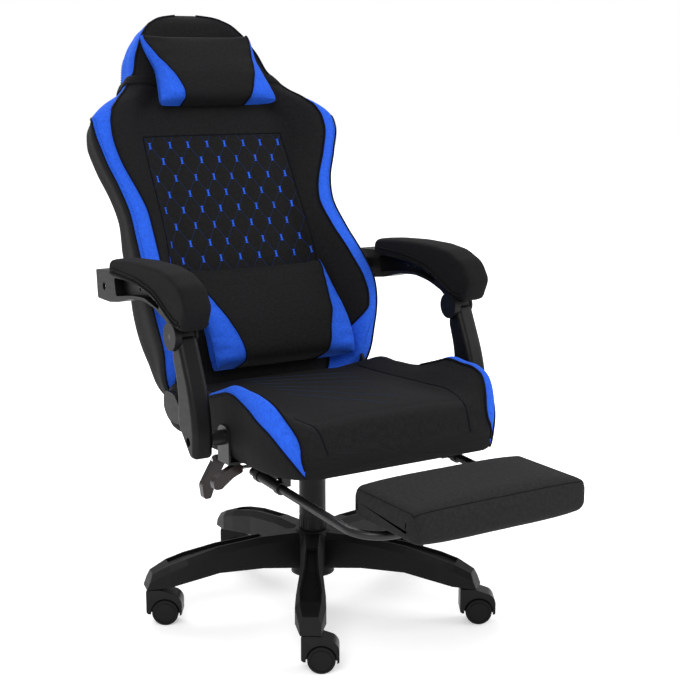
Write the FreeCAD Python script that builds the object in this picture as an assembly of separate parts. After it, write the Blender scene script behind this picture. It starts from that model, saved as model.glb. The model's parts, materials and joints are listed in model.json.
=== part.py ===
import FreeCAD, Part
import math
import os

# Gaming chair on a five-leg swivel base: hourglass backrest that reclines on two hinges,
# armrests that follow the backrest on a parallelogram linkage, and a pull-out footrest.
# Frame: origin on the floor under the column's axis, +Z up, the sitter faces -Y.
# The sitter's right is -X. Every length is in millimetres and every angle in degrees.

Vector = FreeCAD.Vector
X_AXIS = Vector(1, 0, 0)
Y_AXIS = Vector(0, 1, 0)
Z_AXIS = Vector(0, 0, 1)
ORIGIN = Vector(0, 0, 0)

# ---------------------------------------------------------------- driving dimensions
# Fits
SOFT_GAP = 0.3          # a soft piece stays this far from another body
RUNNING_FIT = 0.05      # radial clearance of a shaft in its bore
SLIDING_GAP = 1.0       # between moving shells that pass each other

# Five-leg base
LEG_COUNT = 5
LEG_HEADING = -31.4     # the first leg's turn about Z, from straight ahead
STEM_CIRCLE_R = 325.0   # from the column's axis to a caster's stem
LEG_WALL = 4.0
LEG_RIB = 3.0
LEG_SHOULDER = 12.0     # height of the sloping facet along each top edge
LEG_RECESS = 6.0        # depth of the panel sunk into the top of each leg
# station along a leg: (distance from the axis, top, bottom, half width of top, half width)
LEG_STATIONS = (
    (26.0, 158.0, 84.0, 15.0, 22.0),
    (110.0, 156.0, 93.0, 12.0, 22.0),
    (200.0, 146.0, 94.0, 14.0, 23.0),
    (265.0, 131.0, 84.0, 21.0, 28.0),
    (300.0, 121.0, 78.0, 20.0, 29.0),
    (346.0, 99.0, 74.0, 13.0, 19.0),
)
LEG_TIP_TOP = 334.0     # the end face leans out from here at the top edge
LEG_TIP_BOTTOM = 346.0  # to here at the bottom edge
HUB_R = 40.0
HUB_FLARE_R = 44.0
HUB_BOTTOM = 70.0
HUB_TOP = 161.0

# Casters
WHEEL_R = 26.0
WHEEL_WIDTH = 15.0
WHEEL_BORE_DEPTH = 12.0
CASTER_TRAIL = 20.0     # from the stem's axis to the axle
CASTER_HEADING = 238.2  # the trail's turn about Z, from straight back
CASTER_WEB = 14.0       # thickness of the hood between its two wheels
HOOD_WIDTH = 41.0
HOOD_R = 33.0
HOOD_TOP = 72.0
HOOD_SKIRT = 23.0       # height of the hood's lower edge above the floor
STEM_R = 5.5
STEM_FOOT = 50.0
STEM_HEIGHT = 44.0
STEM_COLLAR_R = 9.0
AXLE_R = 3.0

# Gas lift
TUBE_R = 25.0
TUBE_TAPER = 1.0        # how much thinner the tube is at the hub's lower edge
TUBE_WALL = 2.0
TUBE_FLOOR = 4.0
TUBE_TOP = 300.0
BUSH_LENGTH = 80.0
BUSH_RIM = 3.0
CYLINDER_R = 14.0
CYLINDER_WALL = 3.0
CYLINDER_FOOT = 96.0
CYLINDER_TAPER = 1.0
CYLINDER_PLUG = 8.0
ROD_R = 5.0
PISTON_Z = 250.0
PISTON_HEIGHT = 12.0
BEARING_R = 16.0
BEARING_HEIGHT = 8.0
VALVE_R = 4.0
VALVE_HEIGHT = 2.5
COLLAR_HEIGHT = 28.0
COLLAR_WALL = 1.6
COLLAR_RIB = 1.6
COLLAR_RIB_COUNT = 24
SLEEVE_R = 27.0
SLEEVE_WALL = 1.6
LIFT_TRAVEL = 80.0

# Mechanism under the seat
TRAY_BOTTOM = 318.0
TRAY_HEAD_X = 80.0
TRAY_FRONT = -142.0
TRAY_REAR = 98.0
TRAY_DRAFT_X = 20.0     # how far the tray's sides lean in towards its floor
TRAY_DRAFT_Y = 16.0
TRAY_CORNER = 12.0
TRAY_WALL = 3.0
FLANGE_WIDTH = 20.0
FLANGE_THICK = 3.0
SOCKET_R = 21.0
BOLT_R = 4.0
BOLT_HEAD_R = 7.0
BOLT_HEAD_HEIGHT = 5.0

# Seat
FRAME_BOTTOM = 362.0
FRAME_THICK = 10.0
FRAME_X = 184.0
FRAME_FRONT = -275.0
FRAME_REAR = 142.0
FRAME_BAR = 34.0
FRAME_CORNER = 14.0
FRAME_EAR_X = 217.0     # half width of the rear cross-bar that carries the hinge plates
# station along the seat: (y, half width, crest height, centre height)
SEAT_STATIONS = (
    (145.0, 246.0, 458.0, 449.0),
    (128.0, 252.0, 466.0, 451.0),
    (60.0, 255.0, 470.0, 454.0),
    (-30.0, 256.0, 478.0, 458.0),
    (-90.0, 256.0, 498.0, 461.0),
    (-140.0, 256.0, 515.0, 463.0),
    (-185.0, 254.0, 514.0, 465.0),
    (-225.0, 252.0, 511.0, 466.0),
    (-262.0, 243.0, 496.0, 463.0),
    (-295.0, 223.0, 449.0, 450.0),
    (-316.0, 200.0, 411.0, 418.0),
)
SEAT_CREST_INSET = 16.0   # from the seat's side to the crest of its bolster
SEAT_VALLEY_INSET = 66.0  # from the seat's side to the foot of its bolster

# Backrest, in its own upright frame: x, forward distance n and height t from the hinge
HINGE_Y = 196.0
HINGE_Z = 466.0
RECLINE = 24.7          # the backrest's lean at rest
PANEL_N = -4.0          # the middle panel's front face
# station up the backrest: (t, half width, bolster front, rear face, rear half width, panel half)
BACK_STATIONS = (
    (-45.0, 228.0, 0.0, -58.0, 196.0, 145.0),
    (-25.0, 240.0, 18.0, -70.0, 207.0, 158.0),
    (43.0, 254.0, 58.0, -80.0, 225.0, 167.0),
    (93.0, 262.0, 73.0, -82.0, 234.0, 168.0),
    (143.0, 266.0, 80.0, -82.0, 236.0, 168.0),
    (203.0, 262.0, 67.0, -80.0, 232.0, 164.0),
    (283.0, 253.0, 42.0, -78.0, 226.0, 150.0),
    (348.0, 249.0, 25.0, -76.0, 216.0, 143.0),
    (403.0, 259.0, 19.0, -76.0, 221.0, 148.0),
    (463.0, 279.0, 21.0, -76.0, 237.0, 159.0),
    (518.0, 291.0, 24.0, -74.0, 247.0, 166.0),
    (554.0, 281.0, 20.0, -72.0, 242.0, 160.0),
    (582.0, 246.0, 14.0, -70.0, 221.0, 140.0),
    (611.0, 204.0, 7.0, -68.0, 192.0, 116.0),
    (648.0, 177.0, 3.0, -66.0, 172.0, 101.0),
    (713.0, 150.0, 3.0, -62.0, 150.0, 86.0),
    (758.0, 118.0, 0.0, -58.0, 120.0, 67.0),
    (786.0, 85.0, -5.0, -52.0, 89.0, 48.0),
    (803.0, 46.0, -12.0, -44.0, 51.0, 26.0),
)
TUBE_FRAME_R = 10.0
TUBE_FRAME_N = -44.0
UPRIGHT_X = 190.0
UPRIGHT_FOOT = -22.0
UPRIGHT_TOP = 560.0
HEAD_HOOP_X = 98.0
HEAD_HOOP_TOP = 722.0
HOOP_BEND = 45.0
CROSS_BARS = (110.0, 330.0)
HINGE_PLATE_X = 220.0   # middle of the fixed hinge plate
HINGE_PLATE_THICK = 6.0
HINGE_PLATE_R = 21.0
HINGE_FOOT_Y = 96.0
HINGE_EAR_R = 22.0
HINGE_PIN_R = 7.0
PIN_HEAD = 5.0          # how far the pin's head stands out from the fixed plate
HINGE_POCKET_TOP = 30.0

# Armrest linkage: a parallelogram of backrest, arm and post over the seat
ARM_X = 311.0
POST_PIVOT_Y = -122.0
POST_PIVOT_Z = 417.0
CRANK_Y = 54.0          # from the hinge to the arm's rear pivot, and up the post
CRANK_Z = 186.0
ARM_HALF = 22.0
PAD_HALF = 28.0
PAD_ROUND = 10.0
POST_INNER = 21.0       # from the arm's middle plane to the post's sides
POST_OUTER = 19.0
ARM_WEB = 8.0
ARM_RIM = 6.0
WEB_HOLE_R = 3.5
WEB_HOLE_COUNT = 5
PIVOT_PIN_R = 5.0
KNUCKLE_R = 16.0
DISC_R = 26.0
DISC_THICK = 14.0
CAP_R = 18.0
CAP_THICK = 5.0
SLEEVE_LOW = 14.5       # the knuckle sleeve's two ends, from the arm's middle plane
SLEEVE_HIGH = 16.5
POST_BOLT_REACH = 6.0   # from the arm's middle plane out to the lower bolt's head
STUD_R = 7.0
STUD_CLEAR = 0.8
BRACKET_THICK = 5.0
BRACKET_R = 24.0

# Pillows
PILLOW_LOW_HALF = 136.0
PILLOW_HIGH_HALF = 128.0
PILLOW_LIFT = 8.6       # clears the head section's side bolsters and the strap
PILLOW_LOW = 576.0
PILLOW_HIGH = 738.0
PILLOW_LOW_N = 66.0
PILLOW_HIGH_N = 30.0
STRAP_T = 643.0
STRAP_WIDTH = 22.0
STRAP_THICK = 2.5
STRAP_LIFT = 0.8        # between the cushion and the strap round it
LUMBAR_LOW_HALF = 161.0
LUMBAR_HIGH_HALF = 153.0
LUMBAR_LIFT = 1.6       # clears the slight swell of the stitched panel
LUMBAR_LOW = 6.0
LUMBAR_HIGH = 204.0
LUMBAR_LOW_N = 92.0
LUMBAR_HIGH_N = 52.0

# Footrest
RAIL_SLOPE = 2.8
RAIL_X = 197.0
RAIL_R = 8.0
RAIL_REAR = -115.0
RAIL_BAR_Y = -502.0
RAIL_REF_Y = -225.0     # the guides' front end, where the rails pass at this height
RAIL_REF_Z = 334.3
RAIL_BEND = 60.0
GUIDE_R = 10.0
GUIDE_REAR = -136.0
FERRULE_R = 12.0
FERRULE_LENGTH = 12.0
FOOT_HALF = 183.0
FOOT_REAR = -432.0
FOOT_FRONT = -621.0
FOOT_BOTTOM = 337.0
FOOT_TOP = 398.0
FOOT_ROUND = 14.0
FOOT_PLATE = 4.0
FOOT_CLAMP_X = 90.0
FOOT_CLAMP_WIDTH = 24.0

# Levers
LEVER_Z = 355.0
LEVER_ROD_R = 3.5
LEVER_ROOT_X = -66.0
LEVER_END_X = -252.0
RECLINE_LEVER_Y = -55.0
HEIGHT_LEVER_Y = -127.0
GRIP_THICK = 15.0


# ---------------------------------------------------------------- building blocks
def box(x_range, y_range, z_range):
    """A block between two values on each axis."""
    size = [high - low for low, high in (x_range, y_range, z_range)]
    return Part.makeBox(*size, Vector(x_range[0], y_range[0], z_range[0]))


def rod(radius, start, end):
    """A round bar from one point to another."""
    run = end - start
    return Part.makeCylinder(radius, run.Length, start, run)


def ring(outer, inner, start, end):
    """A round bar with a bore of its own length."""
    return rod(outer, start, end).cut(rod(inner, start, end))


def fuse(shapes):
    """One solid from touching or crossing solids."""
    shapes = list(shapes)
    return shapes[0].multiFuse(shapes[1:]).removeSplitter()


def rounded_wire(corners, place):
    """A closed outline with a round corner of its own radius at each (a, b, radius)."""
    points = [place(a, b) for a, b, _ in corners]
    edges = []
    joints = []
    count = len(points)
    for index, (_, _, radius) in enumerate(corners):
        corner = points[index]
        before = (points[index - 1] - corner).normalize()
        after = (points[(index + 1) % count] - corner).normalize()
        half = before.getAngle(after) / 2
        reach = radius / math.tan(half)
        inside = (before + after).normalize() * (radius / math.sin(half) - radius)
        joints.append((corner + before * reach, corner + inside, corner + after * reach, radius))
    for index, (start, middle, end, radius) in enumerate(joints):
        if radius > 0:
            edges.append(Part.Arc(start, middle, end).toShape())
        following = joints[(index + 1) % count][0]
        if end.distanceToPoint(following) > 1e-6:
            edges.append(Part.LineSegment(end, following).toShape())
    return Part.Wire(edges)


def side_profile(corners, x_range):
    """An outline of (y, z, radius) corners, extruded across the chair."""
    wire = rounded_wire(corners, lambda y, z: Vector(x_range[0], y, z))
    return Part.Face(wire).extrude(X_AXIS * (x_range[1] - x_range[0]))


def smooth_loft(sections):
    """A solid skinned over closed sections that have the same number of points."""
    spans = [0.0] * len(sections[0])
    for section in sections:
        for index, point in enumerate(section):
            following = section[(index + 1) % len(section)]
            spans[index] += math.sqrt(point.distanceToPoint(following))
    total = sum(spans)
    places = [sum(spans[:index]) / total for index in range(len(spans) + 1)]
    wires = []
    for section in sections:
        curve = Part.BSplineCurve()
        curve.interpolate(Points=section, PeriodicFlag=True, Parameters=places)
        wires.append(Part.Wire(curve.toShape()))
    return Part.makeLoft(wires, True)


def mirrored(shape):
    """The same shape on the chair's other side."""
    return shape.mirror(ORIGIN, X_AXIS)


def turned(shape, angle, centre=ORIGIN, axis=Z_AXIS):
    """A copy turned about an axis."""
    copy = shape.copy()
    copy.rotate(centre, axis, angle)
    return copy


# ---------------------------------------------------------------- base and casters
def leg_section(station, wall=0.0):
    """A leg's six-sided section, or the hollow inside it."""
    distance, top, bottom, half_top, half = station
    low = bottom if wall == 0 else bottom - 1
    high = top if wall == 0 else top - LEG_RECESS - wall
    shoulder = top - LEG_SHOULDER if wall == 0 else high - LEG_SHOULDER / 2
    half_top = half_top - wall / 2
    half = half - wall
    corners = ((-half, low), (-half, shoulder), (-half_top, high),
               (half_top, high), (half, shoulder), (half, low))
    return Part.makePolygon([Vector(x, -distance, z) for x, z in corners + corners[:1]])


def leg_recess(station):
    """The section of the panel sunk into a leg's top."""
    distance, top, _, half_top, _ = station
    half = half_top - 3.0
    corners = ((-half, top - LEG_RECESS), (-half, top + 4), (half, top + 4),
               (half, top - LEG_RECESS))
    return Part.makePolygon([Vector(x, -distance, z) for x, z in corners + corners[:1]])


def make_leg():
    """One leg straight ahead: a tapering channel with cross ribs and a stem boss."""
    outer = Part.makeLoft([leg_section(s) for s in LEG_STATIONS], True, True)
    hollow = Part.makeLoft([leg_section(s, LEG_WALL) for s in LEG_STATIONS[:-1]], True, True)
    recess = Part.makeLoft([leg_recess(s) for s in LEG_STATIONS[1:-1]], True, True)
    ribs = []
    first = LEG_STATIONS[1][0]
    last = LEG_STATIONS[-2][0]
    rib_gap = (last - first) / 4
    for index in range(4):
        middle = -(first + rib_gap * index)
        ribs.append(box((-60, 60), (middle - LEG_RIB / 2, middle + LEG_RIB / 2), (60, 200)))
    for rib in ribs:
        hollow = hollow.cut(rib)
    tip_low = LEG_STATIONS[-1][2]
    tip_high = LEG_STATIONS[-1][1] + 20
    slope = (LEG_TIP_BOTTOM - LEG_TIP_TOP) / (tip_high - 15 - tip_low)
    tip = Part.makePolygon([
        Vector(-60, -LEG_TIP_BOTTOM - slope * 10, tip_low - 10),
        Vector(-60, -LEG_TIP_TOP + slope * 15, tip_high),
        Vector(-60, -LEG_TIP_BOTTOM - 40, tip_high),
        Vector(-60, -LEG_TIP_BOTTOM - 40, tip_low - 10),
        Vector(-60, -LEG_TIP_BOTTOM - slope * 10, tip_low - 10)])
    tip_cut = Part.Face(tip).extrude(X_AXIS * 120)
    return outer.cut(hollow).cut(recess).cut(tip_cut)


def stem_socket(radius, top):
    """A cylinder on the first leg's stem axis, from the leg's underside up."""
    foot = Vector(0, -STEM_CIRCLE_R, LEG_STATIONS[-1][2])
    return rod(radius, foot, Vector(foot.x, foot.y, top))


def around_base(shape):
    """The shape at each leg."""
    return [turned(shape, LEG_HEADING + 360.0 * i / LEG_COUNT) for i in range(LEG_COUNT)]


def make_star_base():
    hub = Part.makeCone(HUB_FLARE_R, HUB_R, 22, Vector(0, 0, HUB_BOTTOM))
    hub = hub.fuse(rod(HUB_R, Vector(0, 0, HUB_BOTTOM + 22), Vector(0, 0, HUB_TOP - 8)))
    hub = hub.fuse(Part.makeCone(HUB_R, HUB_R - 6, 8, Vector(0, 0, HUB_TOP - 8)))
    legs = around_base(make_leg())
    base = fuse([hub] + legs)
    stem_top = STEM_FOOT + STEM_HEIGHT
    for hole in around_base(stem_socket(STEM_R, stem_top)):
        base = base.cut(hole)
    return base.cut(tube_outside())


def tube_outside():
    """The gas tube's outer form: a taper in the hub, then a plain cylinder."""
    taper = Part.makeCone(TUBE_R - TUBE_TAPER, TUBE_R, HUB_TOP - HUB_BOTTOM,
                          Vector(0, 0, HUB_BOTTOM))
    return taper.fuse(rod(TUBE_R, Vector(0, 0, HUB_TOP), Vector(0, 0, TUBE_TOP)))


def make_gas_outer_tube():
    inside = rod(TUBE_R - TUBE_TAPER - TUBE_WALL, Vector(0, 0, HUB_BOTTOM + TUBE_FLOOR),
                 Vector(0, 0, TUBE_TOP - BUSH_LENGTH))
    bush_seat = rod(TUBE_R - TUBE_WALL, Vector(0, 0, TUBE_TOP - BUSH_LENGTH),
                    Vector(0, 0, TUBE_TOP))
    rod_hole = rod(ROD_R + RUNNING_FIT, Vector(0, 0, HUB_BOTTOM),
                   Vector(0, 0, HUB_BOTTOM + TUBE_FLOOR))
    return tube_outside().cut(inside).cut(bush_seat).cut(rod_hole)


def make_guide_bush():
    body = rod(TUBE_R - TUBE_WALL, Vector(0, 0, TUBE_TOP - BUSH_LENGTH), Vector(0, 0, TUBE_TOP))
    rim = rod(TUBE_R, Vector(0, 0, TUBE_TOP), Vector(0, 0, TUBE_TOP + BUSH_RIM))
    bore = rod(CYLINDER_R + RUNNING_FIT, Vector(0, 0, TUBE_TOP - BUSH_LENGTH),
               Vector(0, 0, TUBE_TOP + BUSH_RIM))
    return body.fuse(rim).cut(bore)


def make_column_collar():
    """A ribbed ring that closes the hub round the tube."""
    foot = Vector(0, 0, HUB_TOP)
    head = Vector(0, 0, HUB_TOP + COLLAR_HEIGHT)
    body = ring(TUBE_R + COLLAR_WALL, TUBE_R, foot, head)
    ribs = []
    for index in range(COLLAR_RIB_COUNT):
        bar = box((TUBE_R + COLLAR_WALL / 2, SLEEVE_R + 0.4),
                  (-COLLAR_RIB / 2, COLLAR_RIB / 2), (foot.z, head.z - 2))
        ribs.append(turned(bar, 360.0 * index / COLLAR_RIB_COUNT))
    return fuse([body] + ribs)


def make_piston_rod():
    foot = Vector(0, 0, HUB_BOTTOM - 5)
    head = Vector(0, 0, PISTON_Z + PISTON_HEIGHT)
    shaft = rod(ROD_R, foot, head)
    piston = rod(CYLINDER_R - CYLINDER_WALL - RUNNING_FIT, Vector(0, 0, PISTON_Z), head)
    clip = rod(ROD_R + 3, foot, Vector(0, 0, HUB_BOTTOM - SOFT_GAP))
    return fuse([shaft, piston, clip])


def make_thrust_bearing():
    floor = HUB_BOTTOM + TUBE_FLOOR
    return ring(BEARING_R, ROD_R, Vector(0, 0, floor), Vector(0, 0, floor + BEARING_HEIGHT))


def cylinder_head():
    """The tapered top of the gas cylinder, which seats in the mechanism."""
    seat_bottom = Vector(0, 0, TRAY_BOTTOM)
    height = FRAME_BOTTOM - FLANGE_THICK - TRAY_BOTTOM
    return Part.makeCone(CYLINDER_R, CYLINDER_R - CYLINDER_TAPER, height, seat_bottom)


def make_gas_cylinder():
    foot = Vector(0, 0, CYLINDER_FOOT)
    seat_bottom = Vector(0, 0, TRAY_BOTTOM)
    inner = CYLINDER_R - CYLINDER_WALL
    body = rod(CYLINDER_R, foot, seat_bottom).fuse(cylinder_head())
    bore = rod(inner, Vector(0, 0, CYLINDER_FOOT + CYLINDER_PLUG), seat_bottom)
    rod_hole = rod(ROD_R + RUNNING_FIT, foot, Vector(0, 0, CYLINDER_FOOT + CYLINDER_PLUG))
    top = FRAME_BOTTOM - FLANGE_THICK
    valve = rod(VALVE_R, Vector(0, 0, top), Vector(0, 0, top + VALVE_HEIGHT))
    return body.cut(bore).cut(rod_hole).fuse(valve).removeSplitter()


def make_column_sleeve():
    foot = Vector(0, 0, HUB_TOP + COLLAR_HEIGHT + 2)
    head = Vector(0, 0, TRAY_BOTTOM)
    return ring(SLEEVE_R, SLEEVE_R - SLEEVE_WALL, foot, head)


def caster_place(index):
    """Where the numbered caster's stem stands."""
    angle = math.radians(LEG_HEADING + 360.0 * index / LEG_COUNT)
    return Vector(math.sin(angle), -math.cos(angle), 0) * STEM_CIRCLE_R


def caster_hood():
    """The hood over the two wheels: a web between them and an arched roof."""
    nose = -STEM_COLLAR_R - 8.0
    back = CASTER_TRAIL + HOOD_R
    corners = ((nose, HOOD_SKIRT, 6), (nose, HOOD_TOP, 3), (CASTER_TRAIL - 8, HOOD_TOP, 18),
               (back, HOOD_TOP - 14, 22), (back, HOOD_SKIRT - 3, 4))
    wire = rounded_wire(corners, lambda y, z: Vector(-HOOD_WIDTH / 2, y, z))
    hood = Part.Face(wire).extrude(X_AXIS * HOOD_WIDTH)
    arch_r = WHEEL_R + 2.5
    for side in (-1, 1):
        inner = Vector(side * CASTER_WEB / 2, CASTER_TRAIL, WHEEL_R)
        outer = Vector(side * HOOD_WIDTH, CASTER_TRAIL, WHEEL_R)
        hood = hood.cut(rod(arch_r, inner, outer))
        x_range = sorted((inner.x, outer.x))
        below = box(x_range, (CASTER_TRAIL - arch_r, CASTER_TRAIL + arch_r), (0, WHEEL_R))
        hood = hood.cut(below)
    stem_hole = rod(STEM_R + RUNNING_FIT, Vector(0, 0, STEM_FOOT - SLIDING_GAP),
                    Vector(0, 0, HOOD_TOP + 1))
    axle_hole = rod(AXLE_R, Vector(-HOOD_WIDTH, CASTER_TRAIL, WHEEL_R),
                    Vector(HOOD_WIDTH, CASTER_TRAIL, WHEEL_R))
    return hood.cut(stem_hole).cut(axle_hole)


def caster_axle():
    reach = CASTER_WEB / 2 + 0.4 + WHEEL_BORE_DEPTH
    return rod(AXLE_R, Vector(-reach, CASTER_TRAIL, WHEEL_R), Vector(reach, CASTER_TRAIL, WHEEL_R))


def caster_wheel(side):
    """A wheel with a rounded rim, a dished outer face and a blind bore."""
    inner = CASTER_WEB / 2 + 0.4
    centre = Vector(side * inner, CASTER_TRAIL, WHEEL_R)
    out = X_AXIS * side
    wheel = rod(WHEEL_R, centre, centre + out * WHEEL_WIDTH)
    wheel = wheel.makeFillet(3.0, [e for e in wheel.Edges if len(e.Vertexes) == 1])
    face = centre + out * WHEEL_WIDTH
    dish = ring(WHEEL_R - 5, WHEEL_R - 7, face - out * 1.0, face)
    bore = rod(AXLE_R + RUNNING_FIT, centre, centre + out * (WHEEL_BORE_DEPTH + 0.5))
    return wheel.cut(dish).cut(bore)


def make_caster_stems():
    """Five steel stems, each pressed into a leg, with the collar the hood turns under."""
    stem = rod(STEM_R, Vector(0, 0, STEM_FOOT), Vector(0, 0, STEM_FOOT + STEM_HEIGHT))
    return Part.makeCompound([stem.translated(caster_place(i)) for i in range(LEG_COUNT)])


# ---------------------------------------------------------------- mechanism
def make_mechanism_plate():
    """A pressed tray with a flange, the cylinder's socket and two lever bushes."""
    top = FRAME_BOTTOM - FLANGE_THICK

    def outline(inset, grow_x, grow_y, z):
        half = TRAY_HEAD_X - inset + grow_x
        front = TRAY_FRONT + inset - grow_y
        rear = TRAY_REAR - inset + grow_y
        corners = ((-half, front), (half, front), (half, rear), (-half, rear))
        return rounded_wire([(x, y, TRAY_CORNER) for x, y in corners],
                            lambda x, y: Vector(x, y, z))

    def tray(inset, low):
        foot = outline(inset, -TRAY_DRAFT_X, -TRAY_DRAFT_Y, low)
        return Part.makeLoft([foot, outline(inset, 0, 0, top)], True, True)

    shell = tray(0, TRAY_BOTTOM).cut(tray(TRAY_WALL, TRAY_BOTTOM + TRAY_WALL))
    rim = Z_AXIS * FLANGE_THICK
    flange = Part.Face(outline(0, FLANGE_WIDTH, FLANGE_WIDTH, top)).extrude(rim)
    window = Part.Face(outline(TRAY_WALL, 0, 0, top)).extrude(rim)
    socket = rod(SOCKET_R, Vector(0, 0, TRAY_BOTTOM), Vector(0, 0, top))
    plate = fuse([shell, flange.cut(window), socket]).cut(cylinder_head())
    for y in (RECLINE_LEVER_Y, HEIGHT_LEVER_Y):
        plate = plate.cut(lever_bore(y, -TRAY_HEAD_X - 5))
    for place in mechanism_bolt_places():
        plate = plate.cut(rod(BOLT_R, place, place + Z_AXIS * FLANGE_THICK))
    return plate


def lever_bore(y, outer_x):
    return rod(LEVER_ROD_R + RUNNING_FIT, Vector(outer_x, y, LEVER_Z),
               Vector(LEVER_ROOT_X, y, LEVER_Z))


def mechanism_bolt_places():
    """Where the four bolts pass the flange, at its underside."""
    x = TRAY_HEAD_X + FLANGE_WIDTH / 2
    top = FRAME_BOTTOM - FLANGE_THICK
    rows = (TRAY_FRONT - FLANGE_WIDTH / 2, TRAY_REAR + FLANGE_WIDTH / 2)
    return [Vector(side * x, y, top) for side in (-1, 1) for y in rows]


def make_mechanism_bolts():
    bolts = []
    for place in mechanism_bolt_places():
        head = Part.makeCylinder(BOLT_HEAD_R, BOLT_HEAD_HEIGHT, place - Z_AXIS * BOLT_HEAD_HEIGHT)
        shank = rod(BOLT_R, place, place + Z_AXIS * (FLANGE_THICK + FRAME_THICK))
        bolts.append(head.fuse(shank).removeSplitter())
    return Part.makeCompound(bolts)


# ---------------------------------------------------------------- seat
def make_seat_frame():
    """A flat steel frame with two cross-bars; its rear bar reaches out to the hinges."""
    top = FRAME_BOTTOM + FRAME_THICK
    z_range = (FRAME_BOTTOM, top)
    plate = box((-FRAME_X, FRAME_X), (FRAME_FRONT, FRAME_REAR), z_range)
    rear_bar = box((-FRAME_EAR_X, FRAME_EAR_X), (HINGE_FOOT_Y, FRAME_REAR), z_range)
    frame = plate.fuse(rear_bar)
    half_bar = FRAME_BAR / 2
    bolt_rows = sorted({place.y for place in mechanism_bolt_places()})
    windows = ((FRAME_FRONT + FRAME_BAR, bolt_rows[0] - half_bar),
               (bolt_rows[0] + half_bar, -half_bar),
               (half_bar, bolt_rows[1] - half_bar))
    for low, high in windows:
        window = box((-FRAME_X + FRAME_BAR, FRAME_X - FRAME_BAR), (low, high), z_range)
        corners = [e for e in window.Edges if abs(e.Vertexes[0].Z - e.Vertexes[1].Z) > 1]
        frame = frame.cut(window.makeFillet(FRAME_CORNER, corners))
    for place in mechanism_bolt_places():
        frame = frame.cut(rod(BOLT_R, place, place + Z_AXIS * (FLANGE_THICK + FRAME_THICK)))
    return frame.removeSplitter()


def seat_section(station):
    """A section across the seat: flat below, raised bolsters and a hollow middle."""
    y, half, crest, centre = station
    low = FRAME_BOTTOM + FRAME_THICK
    rise = crest - low
    right = [(half * 0.5, low), (half - 12, low + rise * 0.02), (half, low + rise * 0.2),
             (half, low + rise * 0.55), (half - SEAT_CREST_INSET * 0.2, crest - rise * 0.14),
             (half - SEAT_CREST_INSET, crest),
             (half - (SEAT_CREST_INSET + SEAT_VALLEY_INSET) / 2, (crest + centre) / 2 + 3),
             (half - SEAT_VALLEY_INSET - 6, centre + 1), (half * 0.35, centre + 3)]
    left = [(-x, z) for x, z in reversed(right)]
    ring_points = [(0, low)] + right + [(0, centre + 3)] + left
    return [Vector(x, y, z) for x, z in ring_points]


def make_seat_cushion():
    body = smooth_loft([seat_section(s) for s in SEAT_STATIONS])
    floor = FRAME_BOTTOM + FRAME_THICK
    body = body.cut(box((-300, 300), (-400, 300), (floor - 40, floor)))
    for plate in hinge_plates():
        body = body.cut(plate)
    return body


def hinge_plates():
    """The two steel plates that stand on the seat frame and carry the recline hinge."""
    top = FRAME_BOTTOM + FRAME_THICK
    half = HINGE_PLATE_THICK / 2
    foot = ((HINGE_FOOT_Y, top, 0), (FRAME_REAR, top, 0))
    corners = (foot[0], foot[1], (HINGE_Y + HINGE_PLATE_R, HINGE_Z - 30, 14),
               (HINGE_Y + HINGE_PLATE_R, HINGE_Z + HINGE_PLATE_R, HINGE_PLATE_R - 1),
               (HINGE_Y - HINGE_PLATE_R, HINGE_Z + HINGE_PLATE_R, HINGE_PLATE_R - 1),
               (HINGE_FOOT_Y, top + 34, 8))
    plate = side_profile(corners, (HINGE_PLATE_X - half, HINGE_PLATE_X + half))
    foot_block = box((FRAME_EAR_X - 12, FRAME_EAR_X + HINGE_PLATE_THICK),
                     (HINGE_FOOT_Y, FRAME_REAR), (top, top + 6))
    plate = plate.fuse(foot_block).removeSplitter()
    plate = plate.cut(rod(HINGE_PIN_R + RUNNING_FIT, Vector(FRAME_EAR_X - 20, HINGE_Y, HINGE_Z),
                          Vector(FRAME_EAR_X + 20, HINGE_Y, HINGE_Z)))
    return [plate, mirrored(plate)]


def post_brackets():
    """Steel straps from the seat frame out and up to the posts' lower pivots."""
    top = FRAME_BOTTOM + FRAME_THICK
    inner = SEAT_STATIONS[4][1] + 2
    outer = inner + 4
    y_range = (POST_PIVOT_Y - 22, POST_PIVOT_Y + 22)
    flat = box((FRAME_X, outer), y_range, (top - 4, top))
    upright = side_profile(((y_range[0], top - 4, 0), (y_range[1], top - 4, 0),
                            (y_range[1], POST_PIVOT_Z + 22, 18),
                            (y_range[0], POST_PIVOT_Z + 22, 18)), (inner, outer))
    boss = rod(14, Vector(outer, POST_PIVOT_Y, POST_PIVOT_Z),
               Vector(ARM_X - POST_INNER - SOFT_GAP, POST_PIVOT_Y, POST_PIVOT_Z))
    bracket = fuse([flat, upright, boss]).cut(post_bolt_shank())
    return [bracket, mirrored(bracket)]


def post_bolt_shank():
    return rod(PIVOT_PIN_R, Vector(SEAT_STATIONS[4][1] + 2, POST_PIVOT_Y, POST_PIVOT_Z),
               Vector(ARM_X + POST_BOLT_REACH, POST_PIVOT_Y, POST_PIVOT_Z))


def make_post_bolts():
    """The posts' lower pivot bolts, each with its head sunk in the post."""
    end = Vector(ARM_X + POST_BOLT_REACH, POST_PIVOT_Y, POST_PIVOT_Z)
    head = rod(BOLT_HEAD_R + 1, end, end + X_AXIS * 5)
    bolt = post_bolt_shank().fuse(head).removeSplitter()
    return Part.makeCompound([bolt, mirrored(bolt)])


def make_side_covers():
    """Round plastic caps on the seat's sides, over the hinge plates' feet."""
    x = SEAT_STATIONS[2][1] + 1.5
    corners = ((58, 398, 15), (110, 398, 30), (132, 418, 22), (132, 456, 18), (84, 456, 26),
               (56, 430, 26))
    cover = side_profile(corners, (x, x + 7))
    return Part.makeCompound([cover, mirrored(cover)])


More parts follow.
